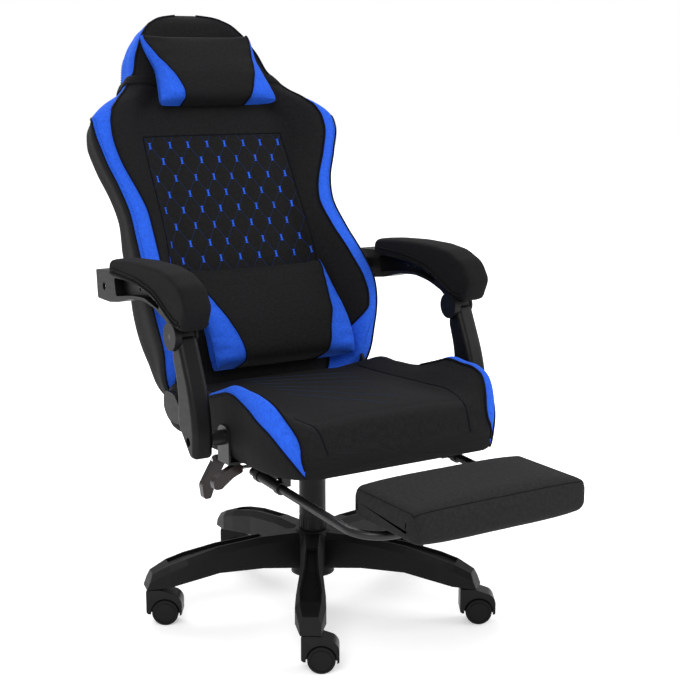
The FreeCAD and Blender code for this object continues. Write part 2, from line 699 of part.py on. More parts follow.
# ---------------------------------------------------------------- backrest
def lean(shape):
    """Places a piece built upright about the hinge at the backrest's rest angle."""
    copy = shape.copy()
    copy.rotate(ORIGIN, X_AXIS, -RECLINE)
    copy.translate(Vector(0, HINGE_Y, HINGE_Z))
    return copy


def back_section(station, grow=0.0):
    """A section across the backrest: a flat panel between two forward bolsters.

    The widest line is near the front, and the sides lean in towards a narrower rear face.
    """
    t, half, crest, rear, rear_half, foot = station
    inset = half - rear_half
    half = half + grow
    crest = crest + grow
    rear = rear - grow
    panel = min(PANEL_N, crest) + grow
    depth = crest - rear
    bolster = half - foot
    right = [(foot * 0.35, panel), (foot * 0.70, panel), (foot, panel),
             (foot + bolster * 0.28, panel + (crest - panel) * 0.55),
             (foot + bolster * 0.58, crest),
             (half * 0.95, crest - depth * 0.02), (half, crest - depth * 0.11),
             (half - inset * 0.30, crest - depth * 0.45),
             (half - inset * 0.75, rear + depth * 0.20),
             (half * 0.93 - inset, rear + depth * 0.04), (half * 0.5, rear)]
    left = [(-x, n) for x, n in reversed(right)]
    ring_points = [(0, panel)] + right + [(0, rear)] + left
    return [Vector(x, -n, t) for x, n in ring_points]


def back_at(t):
    """The backrest's station at any height, between the two nearest ones."""
    for low, high in zip(BACK_STATIONS, BACK_STATIONS[1:]):
        if low[0] <= t <= high[0]:
            share = (t - low[0]) / (high[0] - low[0])
            return tuple(a + (b - a) * share for a, b in zip(low, high))
    return BACK_STATIONS[0] if t < BACK_STATIONS[0][0] else BACK_STATIONS[-1]


def frame_bar(points, bend):
    """A bent round tube along straight runs with one bend radius."""
    edges = []
    start = points[0]
    for index in range(1, len(points) - 1):
        corner = points[index]
        before = (points[index - 1] - corner).normalize()
        after = (points[index + 1] - corner).normalize()
        half = before.getAngle(after) / 2
        reach = bend / math.tan(half)
        middle = corner + (before + after).normalize() * (bend / math.sin(half) - bend)
        edges.append(Part.LineSegment(start, corner + before * reach).toShape())
        edges.append(Part.Arc(corner + before * reach, middle, corner + after * reach).toShape())
        start = corner + after * reach
    edges.append(Part.LineSegment(start, points[-1]).toShape())
    return Part.Wire(edges)


def swept_tube(points, bend, radius):
    """A solid round bar along a bent path."""
    path = frame_bar(points, bend)
    direction = points[1] - points[0]
    section = Part.Wire(Part.makeCircle(radius, points[0], direction))
    return path.makePipeShell([section], True, False)


def upright_back_frame():
    """The steel frame inside the backrest, upright: a hoop, a head hoop and cross-bars."""
    n = -TUBE_FRAME_N
    hoop = swept_tube([Vector(-UPRIGHT_X, n, UPRIGHT_FOOT), Vector(-UPRIGHT_X, n, UPRIGHT_TOP),
                       Vector(UPRIGHT_X, n, UPRIGHT_TOP), Vector(UPRIGHT_X, n, UPRIGHT_FOOT)],
                      HOOP_BEND, TUBE_FRAME_R)
    head = swept_tube([Vector(-HEAD_HOOP_X, n, UPRIGHT_TOP), Vector(-HEAD_HOOP_X, n, HEAD_HOOP_TOP),
                       Vector(HEAD_HOOP_X, n, HEAD_HOOP_TOP), Vector(HEAD_HOOP_X, n, UPRIGHT_TOP)],
                      HOOP_BEND, TUBE_FRAME_R)
    bars = [rod(TUBE_FRAME_R - 2, Vector(-UPRIGHT_X, n, t), Vector(UPRIGHT_X, n, t))
            for t in CROSS_BARS]
    ears = []
    for side in (-1, 1):
        ears.append(hinge_ear(side))
    return fuse([hoop, head] + bars + ears)


def hinge_ear(side):
    """The backrest frame's hinge plate, beside the fixed one, and its foot on the tube."""
    inner = UPRIGHT_X - 2
    outer = HINGE_PLATE_X - HINGE_PLATE_THICK / 2 - SOFT_GAP
    n = -TUBE_FRAME_N
    corners = ((-HINGE_EAR_R, -HINGE_EAR_R, HINGE_EAR_R - 1),
               (n + TUBE_FRAME_R, -HINGE_EAR_R, 6), (n + TUBE_FRAME_R, 60, 6),
               (-HINGE_EAR_R, HINGE_EAR_R + 6, HINGE_EAR_R - 1))
    wire = rounded_wire(corners, lambda y, z: Vector(0, y, z))
    ear = Part.Face(wire).extrude(X_AXIS * (outer - inner - 4))
    ear.translate(Vector(inner + 4, 0, 0))
    ear = ear.cut(rod(HINGE_PIN_R, Vector(inner - 5, 0, 0), Vector(outer + 5, 0, 0)))
    ear = ear.cut(box((0, outer - 8), (-80, n - TUBE_FRAME_R - 4), (-80, 80)))
    return ear if side > 0 else mirrored(ear)


def upright_pocket(side):
    """The slot in the cushion's lower corner that the fixed hinge plate stands in."""
    reach = HINGE_PLATE_THICK / 2 + SOFT_GAP
    x_range = (HINGE_PLATE_X - reach, HINGE_PLATE_X + reach + PIN_HEAD)
    pocket = box(x_range, (-60, 120), (-90, HINGE_POCKET_TOP))
    return pocket if side > 0 else mirrored(pocket)


def make_back_cushion(upright_frame):
    body = smooth_loft([back_section(s) for s in BACK_STATIONS])
    for side in (-1, 1):
        body = body.cut(upright_pocket(side))
        body = body.cut(bracket_seat(side))
    pin_run = rod(HINGE_PIN_R, Vector(-HINGE_PLATE_X, 0, 0), Vector(HINGE_PLATE_X, 0, 0))
    pin_room = pin_run.cut(box((-UPRIGHT_X, UPRIGHT_X), (-20, 20), (-20, 20)))
    return lean(body.cut(pin_room).cut(upright_frame))


def make_recline_pins():
    """The two recline pins, each through the fixed plate and the backrest's ear."""
    inner = HINGE_PLATE_X - HINGE_PLATE_THICK / 2 - SOFT_GAP - 8
    outer = HINGE_PLATE_X + HINGE_PLATE_THICK / 2 + 1
    centre = Vector(0, HINGE_Y, HINGE_Z)
    shank = rod(HINGE_PIN_R, centre + X_AXIS * inner, centre + X_AXIS * outer)
    head = rod(HINGE_PIN_R + 4, centre + X_AXIS * outer, centre + X_AXIS * (outer + PIN_HEAD - 1))
    pin = shank.fuse(head).removeSplitter()
    return Part.makeCompound([pin, mirrored(pin)])


def crank_in_back():
    """The arm's rear pivot in the backrest's upright frame, as (forward n, height t)."""
    angle = math.radians(RECLINE)
    t = CRANK_Y * math.sin(angle) + CRANK_Z * math.cos(angle)
    n = -CRANK_Y * math.cos(angle) + CRANK_Z * math.sin(angle)
    return n, t


def bracket_plate_x():
    """Where the bracket plate lies on the backrest's side."""
    _, t = crank_in_back()
    return back_at(t)[1] - BRACKET_THICK + 1.5


def bracket_seat(side):
    """The flat that the bracket plate and its stem need in the cushion's side."""
    n, t = crank_in_back()
    x = bracket_plate_x()
    flat = box((x, x + 60), (-n - BRACKET_R - 2, -n + BRACKET_R + 34), (t - BRACKET_R - 2,
                                                                       t + BRACKET_R + 2))
    return flat if side > 0 else mirrored(flat)


def back_bracket(side):
    """A plate on the backrest's side with the stud that carries the arm's rear end."""
    n, t = crank_in_back()
    x = bracket_plate_x()
    corners = ((-n - BRACKET_R, t - BRACKET_R, 12), (-n + BRACKET_R + 32, t - BRACKET_R, 12),
               (-n + BRACKET_R + 32, t + BRACKET_R, 12), (-n - BRACKET_R, t + BRACKET_R, 12))
    plate = side_profile(corners, (x, x + BRACKET_THICK))
    stud = rod(STUD_R, Vector(x, -n, t), Vector(ARM_X + ARM_HALF - ARM_WEB, -n, t))
    boss = rod(STUD_R + 5, Vector(x, -n, t), Vector(ARM_X - ARM_HALF - SOFT_GAP, -n, t))
    bracket = fuse([plate, stud, boss])
    return lean(bracket if side > 0 else mirrored(bracket))


def make_head_strap():
    """An elastic band round the head section."""
    half = STRAP_WIDTH / 2
    low = back_at(STRAP_T - half)
    high = back_at(STRAP_T + half)
    outer = smooth_loft([back_section(s, STRAP_LIFT + STRAP_THICK) for s in (low, high)])
    inner = smooth_loft([back_section(s, STRAP_LIFT) for s in (low, high)])
    return lean(outer.cut(inner))


def cushion_block(low_half, high_half, corners, edge_round):
    """A pillow: a side outline of (n, t, radius) corners between two leaning ends."""
    low = min(t for _, t, _ in corners)
    high = max(t for _, t, _ in corners)

    def half_at(t):
        return low_half + (high_half - low_half) * (t - low) / (high - low)

    reach = max(low_half, high_half) + 1
    wire = rounded_wire(corners, lambda n, t: Vector(-reach, -n, t))
    block = Part.Face(wire).extrude(X_AXIS * (2 * reach))
    front = [Vector(side * half_at(t), -200, t)
             for side, t in ((-1, low - 1), (1, low - 1), (1, high + 1), (-1, high + 1))]
    between = Part.Face(Part.makePolygon(front + front[:1])).extrude(Y_AXIS * 400)
    block = block.common(between)
    ends = [e for e in block.Edges
            if abs(abs(e.CenterOfMass.x) - half_at(e.CenterOfMass.z)) < 0.01]
    return lean(block.makeFillet(edge_round, ends))


def make_head_pillow():
    back = PANEL_N + PILLOW_LIFT
    corners = ((back, PILLOW_LOW, 9), (PILLOW_LOW_N, PILLOW_LOW + 6, 24),
               (PILLOW_LOW_N - 2, PILLOW_LOW + 60, 40), (PILLOW_HIGH_N, PILLOW_HIGH, 10),
               (back, PILLOW_HIGH, 9))
    return cushion_block(PILLOW_LOW_HALF, PILLOW_HIGH_HALF, corners, 7.0)


def make_lumbar_cushion():
    back = PANEL_N + LUMBAR_LIFT
    corners = ((back, LUMBAR_LOW, 14), (LUMBAR_LOW_N, LUMBAR_LOW + 4, 34),
               (LUMBAR_LOW_N, LUMBAR_LOW + 80, 60), (LUMBAR_HIGH_N, LUMBAR_HIGH, 22),
               (back, LUMBAR_HIGH, 12))
    return cushion_block(LUMBAR_LOW_HALF, LUMBAR_HIGH_HALF, corners, 12.0)


# ---------------------------------------------------------------- armrests
def knuckle():
    """The pivot between post and arm, as (y, z)."""
    return POST_PIVOT_Y + CRANK_Y, POST_PIVOT_Z + CRANK_Z


def arm_rear_pivot():
    """The pivot between backrest and arm, as (y, z)."""
    return HINGE_Y + CRANK_Y, HINGE_Z + CRANK_Z


def across(radius, x_low, x_high, y, z):
    """A cylinder across the chair, given from the arm's middle plane."""
    return rod(radius, Vector(ARM_X + x_low, y, z), Vector(ARM_X + x_high, y, z))


def make_post(outside):
    """The curved post: a deep moulded blade with a rounded front and a knuckle sleeve.

    The pivot bolt's head is sunk in the side named by outside, 1 for +X and -1 for -X.
    """
    y, z = knuckle()
    low = POST_PIVOT_Z - 30
    corners = ((y + 10, z - 8, 4), (y - 20, z + 2, 8), (POST_PIVOT_Y - 15, POST_PIVOT_Z + 83, 300),
               (POST_PIVOT_Y - 25, POST_PIVOT_Z + 20, 90), (POST_PIVOT_Y - 22, low, 8),
               (POST_PIVOT_Y - 2, low, 10), (POST_PIVOT_Y + 46, POST_PIVOT_Z + 22, 40),
               (POST_PIVOT_Y + 44, POST_PIVOT_Z + 90, 150), (y + 10, z - 40, 20))
    blade = side_profile(corners, (ARM_X - POST_INNER, ARM_X + POST_OUTER))
    front = [e for e in blade.Edges
             if abs(abs(e.CenterOfMass.x - ARM_X + 1) - 20) < 0.01 and e.CenterOfMass.y < -118]
    blade = blade.makeFillet(10.0, front)
    sleeve = across(KNUCKLE_R, -SLEEVE_LOW, SLEEVE_HIGH, y, z)
    post = blade.fuse(sleeve)
    post = post.cut(across(DISC_R + 1.5, -40, -SLEEVE_LOW, y, z))
    post = post.cut(across(CAP_R + 1.5, SLEEVE_HIGH, 40, y, z))
    post = post.cut(across(PIVOT_PIN_R + RUNNING_FIT, -40, 40, y, z))
    post = post.cut(across(PIVOT_PIN_R + RUNNING_FIT, -40, 40, POST_PIVOT_Y, POST_PIVOT_Z))
    recess_r = BOLT_HEAD_R + 1 + SOFT_GAP
    floor = outside * (POST_BOLT_REACH - SOFT_GAP)
    recess = across(recess_r, *sorted((floor, outside * 40)), POST_PIVOT_Y, POST_PIVOT_Z)
    return post.cut(recess).removeSplitter()


def arm_blank(half):
    """The moulded arm's side outline, which the pad also sits on."""
    y, z = knuckle()
    rear_y, rear_z = arm_rear_pivot()
    block_rear = rear_y + 40
    corners = ((block_rear, rear_z + 30, 4), (222, 686, 60), (111, 686, 200), (35, 674, 120),
               (-42, 645, 60), (y - 14, z + 22, 3), (y + 18, z + 16.5, 3), (-33, 630, 30),
               (8, 643, 120), (56, 650, 120), (113, 646, 120), (178, 630, 60),
               (222, rear_z - 28, 20), (block_rear - 5, rear_z - 28, 6))
    return side_profile(corners, (ARM_X - half, ARM_X + half))


def make_arm_frame():
    """The moulded arm: an arched channel, a hollow rear block and a knuckle fork."""
    y, z = knuckle()
    rear_y, rear_z = arm_rear_pivot()
    block_rear = rear_y + 40
    body = arm_blank(ARM_HALF)
    pocket_outline = ((198, 676, 6), (111, 679, 150), (40, 668, 90), (-14, 650, 3),
                      (-8, 643.5, 3), (56, 656, 60), (113, 652, 60), (190, 640, 6))
    pocket = side_profile(pocket_outline, (ARM_X + ARM_WEB / 2, ARM_X + ARM_HALF))
    body = body.cut(pocket).cut(pocket.mirror(Vector(ARM_X, 0, 0), X_AXIS))
    for index in range(WEB_HOLE_COUNT):
        hole_y = 112 - 27 * index
        hole_z = 663.5 - 0.00125 * (hole_y - 85) ** 2
        body = body.cut(across(WEB_HOLE_R, -ARM_HALF, ARM_HALF, hole_y, hole_z))
    hollow = box((ARM_X - ARM_HALF + ARM_RIM, ARM_X + ARM_HALF - ARM_RIM),
                 (rear_y - 24, block_rear + 1), (rear_z - 22, rear_z + 24))
    body = body.cut(hollow)
    body = body.cut(across(STUD_R + STUD_CLEAR, -ARM_HALF, ARM_HALF, rear_y, rear_z))
    disc = across(DISC_R, -SLEEVE_LOW - DISC_THICK, -SLEEVE_LOW - 0.3, y, z)
    cap = across(CAP_R, SLEEVE_HIGH + 0.3, SLEEVE_HIGH + CAP_THICK, y, z)
    tie_z = (z, z + DISC_R - 4)
    tie = box((ARM_X + SLEEVE_HIGH + 0.3, ARM_X + SLEEVE_HIGH + CAP_THICK), (y - 10, y + 12), tie_z)
    frame = fuse([body, disc, cap, tie])
    return frame.cut(across(PIVOT_PIN_R, -40, 40, y, z))


def make_arm_pad():
    """The padded top of the arm: it wraps the frame's edges and curls down over the front."""
    y, z = knuckle()
    corners = ((212, 710, 16), (150, 717, 400), (70, 722, 300), (-10, 722, 200),
               (-64, 716, 90), (-112, 697, 45), (-136, 662, 22), (-116, 618, 14),
               (-88, 619, 20), (-55, 633, 40), (0, 661, 90), (70, 674, 120),
               (145, 677, 300), (212, 679, 4))
    pad = side_profile(corners, (ARM_X - PAD_HALF, ARM_X + PAD_HALF))
    sides = [e for e in pad.Edges if abs(abs(e.CenterOfMass.x - ARM_X) - PAD_HALF) < 1e-3]
    tops = [e for e in sides if e.CenterOfMass.z > 682 or e.CenterOfMass.y < -100]
    knuckle_room = across(DISC_R + SOFT_GAP, -PAD_HALF - 1, PAD_HALF + 1, y, z)
    return pad.makeFillet(PAD_ROUND, tops).cut(arm_blank(ARM_HALF)).cut(knuckle_room)


def make_knuckle_pin():
    y, z = knuckle()
    shank = across(PIVOT_PIN_R, -SLEEVE_LOW - DISC_THICK, SLEEVE_HIGH + CAP_THICK, y, z)
    head = across(PIVOT_PIN_R + 4, SLEEVE_HIGH + CAP_THICK, SLEEVE_HIGH + CAP_THICK + 2, y, z)
    return shank.fuse(head).removeSplitter()


def on_right(shape):
    """A left-arm piece moved, not mirrored, to the right arm."""
    copy = shape.copy()
    copy.translate(Vector(-2 * ARM_X, 0, 0))
    return copy


# ---------------------------------------------------------------- footrest
def slope_rail(shape):
    """Tilts a footrest piece built level at the rails' reference point."""
    copy = shape.copy()
    copy.rotate(ORIGIN, X_AXIS, RAIL_SLOPE)
    copy.translate(Vector(0, RAIL_REF_Y, RAIL_REF_Z))
    return copy


def along_rail(y):
    """A rail's own length coordinate for a place on the chair."""
    return (y - RAIL_REF_Y) / math.cos(math.radians(RAIL_SLOPE))


def make_footrest_rails():
    """A U-shaped tube: two rails and the front bar the pad turns on."""
    rear = along_rail(RAIL_REAR)
    bar = along_rail(RAIL_BAR_Y)
    points = [Vector(-RAIL_X, rear, 0), Vector(-RAIL_X, bar, 0),
              Vector(RAIL_X, bar, 0), Vector(RAIL_X, rear, 0)]
    return slope_rail(swept_tube(points, RAIL_BEND, RAIL_R))


def make_rail_guides():
    """Two guide tubes with end ferrules, hung from the seat frame."""
    rear = along_rail(GUIDE_REAR)
    front = along_rail(RAIL_REF_Y)
    start = Vector(RAIL_X, front, 0)
    end = Vector(RAIL_X, rear, 0)
    tube = rod(GUIDE_R, start, end)
    ferrules = [rod(FERRULE_R, start, start + Y_AXIS * FERRULE_LENGTH),
                rod(FERRULE_R, end - Y_AXIS * FERRULE_LENGTH, end)]
    bore = rod(RAIL_R + RUNNING_FIT, start - Y_AXIS, end + Y_AXIS)
    guide = slope_rail(fuse([tube] + ferrules))
    hangers = []
    for y in (GUIDE_REAR - 22, RAIL_REF_Y + 22):
        height = RAIL_REF_Z + (y - RAIL_REF_Y) * math.tan(math.radians(RAIL_SLOPE))
        leg = box((FRAME_X - 14, RAIL_X - GUIDE_R + 1.5), (y - 8, y + 8), (height - 4, FRAME_BOTTOM))
        hangers.append(leg)
    guide = fuse([guide] + hangers).cut(slope_rail(bore))
    return Part.makeCompound([guide, mirrored(guide)])


def bar_centre():
    """The front bar's centre line, as (y, z)."""
    rise = (RAIL_BAR_Y - RAIL_REF_Y) * math.tan(math.radians(RAIL_SLOPE))
    return RAIL_BAR_Y, RAIL_REF_Z + rise


def make_footrest_bracket():
    """The pad's steel plate with two clamps round the front bar."""
    y, z = bar_centre()
    top = FOOT_BOTTOM
    plate = box((-FOOT_HALF + 25, FOOT_HALF - 25), (FOOT_FRONT + 30, FOOT_REAR - 16),
                (top - FOOT_PLATE, top))
    shapes = [plate]
    for side in (-1, 1):
        x_range = sorted((side * (FOOT_CLAMP_X - FOOT_CLAMP_WIDTH / 2),
                          side * (FOOT_CLAMP_X + FOOT_CLAMP_WIDTH / 2)))
        clamp = side_profile(((y - 15, top - FOOT_PLATE, 0), (y - 15, z - 13, 12),
                              (y + 15, z - 13, 12), (y + 15, top - FOOT_PLATE, 0)), x_range)
        shapes.append(clamp)
    bracket = fuse(shapes)
    return bracket.cut(rod(RAIL_R + RUNNING_FIT, Vector(-FOOT_HALF, y, z), Vector(FOOT_HALF, y, z)))


def make_footrest_pad():
    pad = box((-FOOT_HALF, FOOT_HALF), (FOOT_FRONT, FOOT_REAR), (FOOT_BOTTOM, FOOT_TOP))
    verticals = [e for e in pad.Edges if abs(e.Vertexes[0].Z - e.Vertexes[1].Z) > 1]
    pad = pad.makeFillet(FOOT_ROUND, verticals)
    top = [e for e in pad.Edges if e.BoundBox.ZMin > FOOT_TOP - 0.01]
    low = [e for e in pad.Edges if e.BoundBox.ZMax < FOOT_BOTTOM + 0.01]
    return pad.makeFillet(FOOT_ROUND - 2, top + low)


# ---------------------------------------------------------------- levers
def make_lever(y):
    """A lever's steel shaft, from the mechanism out past the seat's side."""
    return rod(LEVER_ROD_R, Vector(LEVER_ROOT_X, y, LEVER_Z), Vector(LEVER_END_X, y, LEVER_Z))


def make_grip(y, reach, drop, length):
    """A moulded paddle on a lever's end, curving down and outwards.

    The paddle's heel lies reach out and drop down from the shaft's end, and its tip length down.
    """
    x = LEVER_END_X + 22
    half = GRIP_THICK / 2
    start = Vector(x, y, LEVER_Z)
    neck = rod(7.0, start, Vector(x - 12, y, LEVER_Z))
    corners = ((x + 2, LEVER_Z + 7, 3), (x - 16, LEVER_Z + 8, 8),
               (x - reach - 10, LEVER_Z - drop, 13), (x - reach - 6, LEVER_Z - length, 6),
               (x - reach + 8, LEVER_Z - length, 5),
               (x - reach * 0.35, LEVER_Z - length * 0.45, 20), (x + 2, LEVER_Z - 7, 3))
    wire = rounded_wire(corners, lambda a, b: Vector(a, y - half, b))
    paddle = Part.Face(wire).extrude(Y_AXIS * GRIP_THICK)
    bore = rod(LEVER_ROD_R, start + X_AXIS * 5, Vector(LEVER_END_X, y, LEVER_Z))
    return fuse([neck, paddle]).cut(bore)


# ---------------------------------------------------------------- parts
def all_parts():
    frame = upright_back_frame()
    left_post = make_post(1)
    right_post = on_right(make_post(-1))
    arm = make_arm_frame()
    pad = make_arm_pad()
    pin = make_knuckle_pin()
    parts = {
        "star_base": make_star_base(),
        "gas_outer_tube": make_gas_outer_tube(),
        "guide_bush": make_guide_bush(),
        "column_collar": make_column_collar(),
        "caster_stems": make_caster_stems(),
        "piston_rod": make_piston_rod(),
        "thrust_bearing": make_thrust_bearing(),
        "gas_cylinder": make_gas_cylinder(),
        "column_sleeve": make_column_sleeve(),
        "mechanism_plate": make_mechanism_plate(),
        "mechanism_bolts": make_mechanism_bolts(),
        "seat_frame": make_seat_frame(),
        "seat_cushion": make_seat_cushion(),
        "rail_guides": make_rail_guides(),
        "side_brackets": Part.makeCompound(hinge_plates() + post_brackets()),
        "side_covers": make_side_covers(),
        "post_bolts": make_post_bolts(),
        "height_lever": make_lever(HEIGHT_LEVER_Y),
        "height_grip": make_grip(HEIGHT_LEVER_Y, 50, 14, 33),
        "recline_lever": make_lever(RECLINE_LEVER_Y),
        "recline_grip": make_grip(RECLINE_LEVER_Y, 37, 44, 72),
        "back_frame": lean(frame),
        "back_cushion": make_back_cushion(frame),
        "recline_pins": make_recline_pins(),
        "right_back_bracket": back_bracket(-1),
        "left_back_bracket": back_bracket(1),
        "head_strap": make_head_strap(),
        "head_pillow": make_head_pillow(),
        "lumbar_cushion": make_lumbar_cushion(),
        "left_post": left_post,
        "left_arm_frame": arm,
        "left_arm_pad": pad,
        "left_knuckle_pin": pin,
        "right_post": right_post,
        "right_arm_frame": on_right(arm),
        "right_arm_pad": on_right(pad),
        "right_knuckle_pin": on_right(pin),
        "footrest_rails": make_footrest_rails(),
        "footrest_bracket": make_footrest_bracket(),
        "footrest_pad": make_footrest_pad(),
    }
    pieces = {"hood": caster_hood(), "axle": caster_axle(),
              "wheel_a": caster_wheel(-1), "wheel_b": caster_wheel(1)}
    for index in range(LEG_COUNT):
        for name, piece in pieces.items():
            placed = turned(piece, CASTER_HEADING)
            placed.translate(caster_place(index))
            parts["caster%d_%s" % (index + 1, name)] = placed
    return parts


def main():
    os.makedirs("parts", exist_ok=True)
    for name, shape in all_parts().items():
        shape.exportStep("parts/%s.step" % name)
        print("%-20s %d solids %10.0f mm3 valid %s" % (
            name, len(shape.Solids), shape.Volume, shape.isValid()))


main()
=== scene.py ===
"""Looks of the gaming chair: covers, seams, pillows, finishes and the studio."""

import json
import logging
import math
from dataclasses import dataclass, field
from enum import Enum
from typing import Any, Optional, Sequence

import bmesh
import bpy
import numpy as np
from mathutils import Matrix, Vector
from mathutils.kdtree import KDTree


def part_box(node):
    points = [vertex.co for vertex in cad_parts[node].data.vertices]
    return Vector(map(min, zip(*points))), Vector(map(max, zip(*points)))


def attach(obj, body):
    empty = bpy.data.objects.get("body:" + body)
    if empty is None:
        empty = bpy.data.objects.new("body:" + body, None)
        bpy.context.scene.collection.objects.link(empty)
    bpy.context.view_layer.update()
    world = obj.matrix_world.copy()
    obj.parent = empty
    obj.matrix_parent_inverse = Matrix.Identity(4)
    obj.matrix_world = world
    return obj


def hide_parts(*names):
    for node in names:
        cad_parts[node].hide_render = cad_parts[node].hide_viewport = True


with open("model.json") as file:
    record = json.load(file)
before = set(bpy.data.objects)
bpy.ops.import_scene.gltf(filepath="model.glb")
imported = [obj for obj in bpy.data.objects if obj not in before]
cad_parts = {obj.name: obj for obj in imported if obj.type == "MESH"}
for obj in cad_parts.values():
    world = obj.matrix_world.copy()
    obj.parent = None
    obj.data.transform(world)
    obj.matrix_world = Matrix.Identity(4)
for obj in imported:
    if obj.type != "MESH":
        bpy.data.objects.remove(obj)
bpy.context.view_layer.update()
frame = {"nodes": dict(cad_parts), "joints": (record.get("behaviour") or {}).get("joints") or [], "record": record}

log = logging.getLogger("chair")
MM = 0.001
SECTION_STEPS = 14      # samples from one knot of a section to the next
WAVE_PERIOD = 0.31416   # period of a wave texture's bands at scale 1
# the painted shade that goes with the gathers fades at the same rate
PUCKER_AND_SHADE_REACH = 9 * MM   # how fast the gathers fade beside a seam
SEAM_REACH = 4 * MM     # how fast the dip along a seam fades

Color = tuple[float, float, float]


class Side(Enum):
    """The sitter's two sides, with the sign of X there."""

    RIGHT = -1
    LEFT = 1


class Cover(Enum):
    """The materials a sewn cover is cut from, in slot order."""

    BODY = 0
    BLUE = 1
    FLANK = 2
    QUILT = 3


# ---------------------------------------------------------------- numbers and curves


def smooth_at(knots: Sequence[float], values: Sequence[float], at: Any,
              limit: bool = False) -> np.ndarray:
    """Interpolates smoothly through knots.

    Args:
        knots: rising positions.
        values: the value at each knot.
        at: where to evaluate.
        limit: whether a stretch may not pass beyond its two knots' values.

    Returns:
        The interpolated values.
    """
    x, y = np.asarray(knots, float), np.asarray(values, float)
    at = np.clip(np.asarray(at, float), x[0], x[-1])
    rise = np.diff(y) / np.diff(x)
    slope = np.empty_like(y)
    slope[0], slope[-1] = rise[0], rise[-1]
    slope[1:-1] = (rise[:-1] * np.diff(x)[1:] + rise[1:] * np.diff(x)[:-1]) / (x[2:] - x[:-2])
    if limit:
        most = 2 * np.minimum(np.abs(rise[:-1]), np.abs(rise[1:]))
        slope[1:-1] = np.where(rise[:-1] * rise[1:] > 0, np.clip(slope[1:-1], -most, most), 0.0)
    spot = np.clip(np.searchsorted(x, at, side="right") - 1, 0, len(x) - 2)
    width = x[spot + 1] - x[spot]
    u = (at - x[spot]) / width
    return ((2 * u**3 - 3 * u**2 + 1) * y[spot] + (u**3 - 2 * u**2 + u) * width * slope[spot]
            + (3 * u**2 - 2 * u**3) * y[spot + 1] + (u**3 - u**2) * width * slope[spot + 1])


def smooth_step(low: float, high: float, at: Any) -> Any:
    """Rises from 0 at low to 1 at high, with soft ends."""
    u = np.clip((np.asarray(at, float) - low) / (high - low), 0.0, 1.0)
    return u * u * (3 - 2 * u)


def through(points: np.ndarray, steps: int) -> np.ndarray:
    """A dense open curve through points, with chord-weighted tangents.

    Args:
        points: the points that the curve passes.
        steps: samples on each stretch.

    Returns:
        The samples, ends included.
    """
    span = np.sqrt(np.linalg.norm(np.diff(points, axis=0), axis=1)) + 1e-9
    knots = np.concatenate([[0.0], np.cumsum(span)])
    at = np.concatenate([np.linspace(a, b, steps, endpoint=False)
                         for a, b in zip(knots, knots[1:])] + [knots[-1:]])
    return np.stack([smooth_at(knots, points[:, k], at) for k in range(points.shape[1])], axis=1)


def run_length(points: np.ndarray) -> np.ndarray:
    """The distance along a polyline at each of its points."""
    return np.concatenate([[0.0], np.cumsum(np.linalg.norm(np.diff(points, axis=0), axis=1))])


def read_table(table: Sequence[tuple], at: Any) -> np.ndarray:
    """Reads a (position, value) table in millimetres, without overshoot."""
    knots, values = np.array(table, float).T * MM
    return smooth_at(knots, values, at, limit=True)


def resampled(points: np.ndarray, at: np.ndarray) -> np.ndarray:
    """The points of a polyline at the given distances along it."""
    run = run_length(points)
    return np.stack([np.interp(at, run, points[:, k]) for k in range(points.shape[1])], axis=1)


def smoothed(values: np.ndarray, passes: int) -> np.ndarray:
    """Evens out a row of values or points, with its ends kept.

    Args:
        values: the row, changed in place.
        passes: how often each is averaged with its neighbours.

    Returns:
        The row.
    """
    for _ in range(passes):
        values[1:-1] = (values[:-2] + 2 * values[1:-1] + values[2:]) / 4
    return values


def rounded_outline(corners: Sequence[tuple[float, float, float]], steps: int = 8) -> np.ndarray:
    """A closed outline of (a, b, radius) corners, each turned into an arc.

    Args:
        corners: the corner points and their radii.
        steps: samples on each arc.

    Returns:
        The outline's points in order, without a repeated end.
    """
    out = []
    count = len(corners)
    for index, (a, b, radius) in enumerate(corners):
        here = np.array([a, b])
        before = np.array(corners[index - 1][:2]) - here
        after = np.array(corners[(index + 1) % count][:2]) - here
        before, after = before / np.linalg.norm(before), after / np.linalg.norm(after)
        half = math.acos(float(np.clip(before @ after, -1, 1))) / 2
        reach = radius / math.tan(half)
        middle = here + (before + after) / np.linalg.norm(before + after) * radius / math.sin(half)
        start, end = here + before * reach - middle, here + after * reach - middle
        turn = math.atan2(start[0] * end[1] - start[1] * end[0], float(start @ end))
        for k in range(steps + 1):
            c, s = math.cos(turn * k / steps), math.sin(turn * k / steps)
            out.append(middle + np.array([c * start[0] - s * start[1], s * start[0] + c * start[1]]))
    return np.array(out)


@dataclass(frozen=True)
class Leaning:
    """The backrest's own directions at rest, read from its joints."""

    hinge: Vector
    up: Vector

    @classmethod
    def of_frame(cls) -> "Leaning":
        """Reads the recline hinge and the pillow's slide from the frame's joints."""
        joints = {j["name"]: j for j in frame["joints"]}
        return cls(Vector(joints["recline"]["pos_m"]), Vector(joints["head_pillow_slide"]["axis"]))

    def place(self, x: Any, n: Any, t: Any) -> np.ndarray:
        """Turns upright coordinates into the frame's.

        Args:
            x: across the chair.
            n: forward from the hinge.
            t: up along the backrest.

        Returns:
            Points with a last axis of three.
        """
        x, n, t = np.broadcast_arrays(*(np.asarray(v, float) for v in (x, n, t)))
        return np.stack([x, self.hinge.y + t * self.up.y - n * self.up.z,
                         self.hinge.z + t * self.up.z + n * self.up.y], axis=-1)


# ---------------------------------------------------------------- shader building


def opaque(color: Any) -> Any:
    """A plain colour with full alpha; a socket stays as it is."""
    return color if isinstance(color, bpy.types.NodeSocket) else (*color, 1.0)


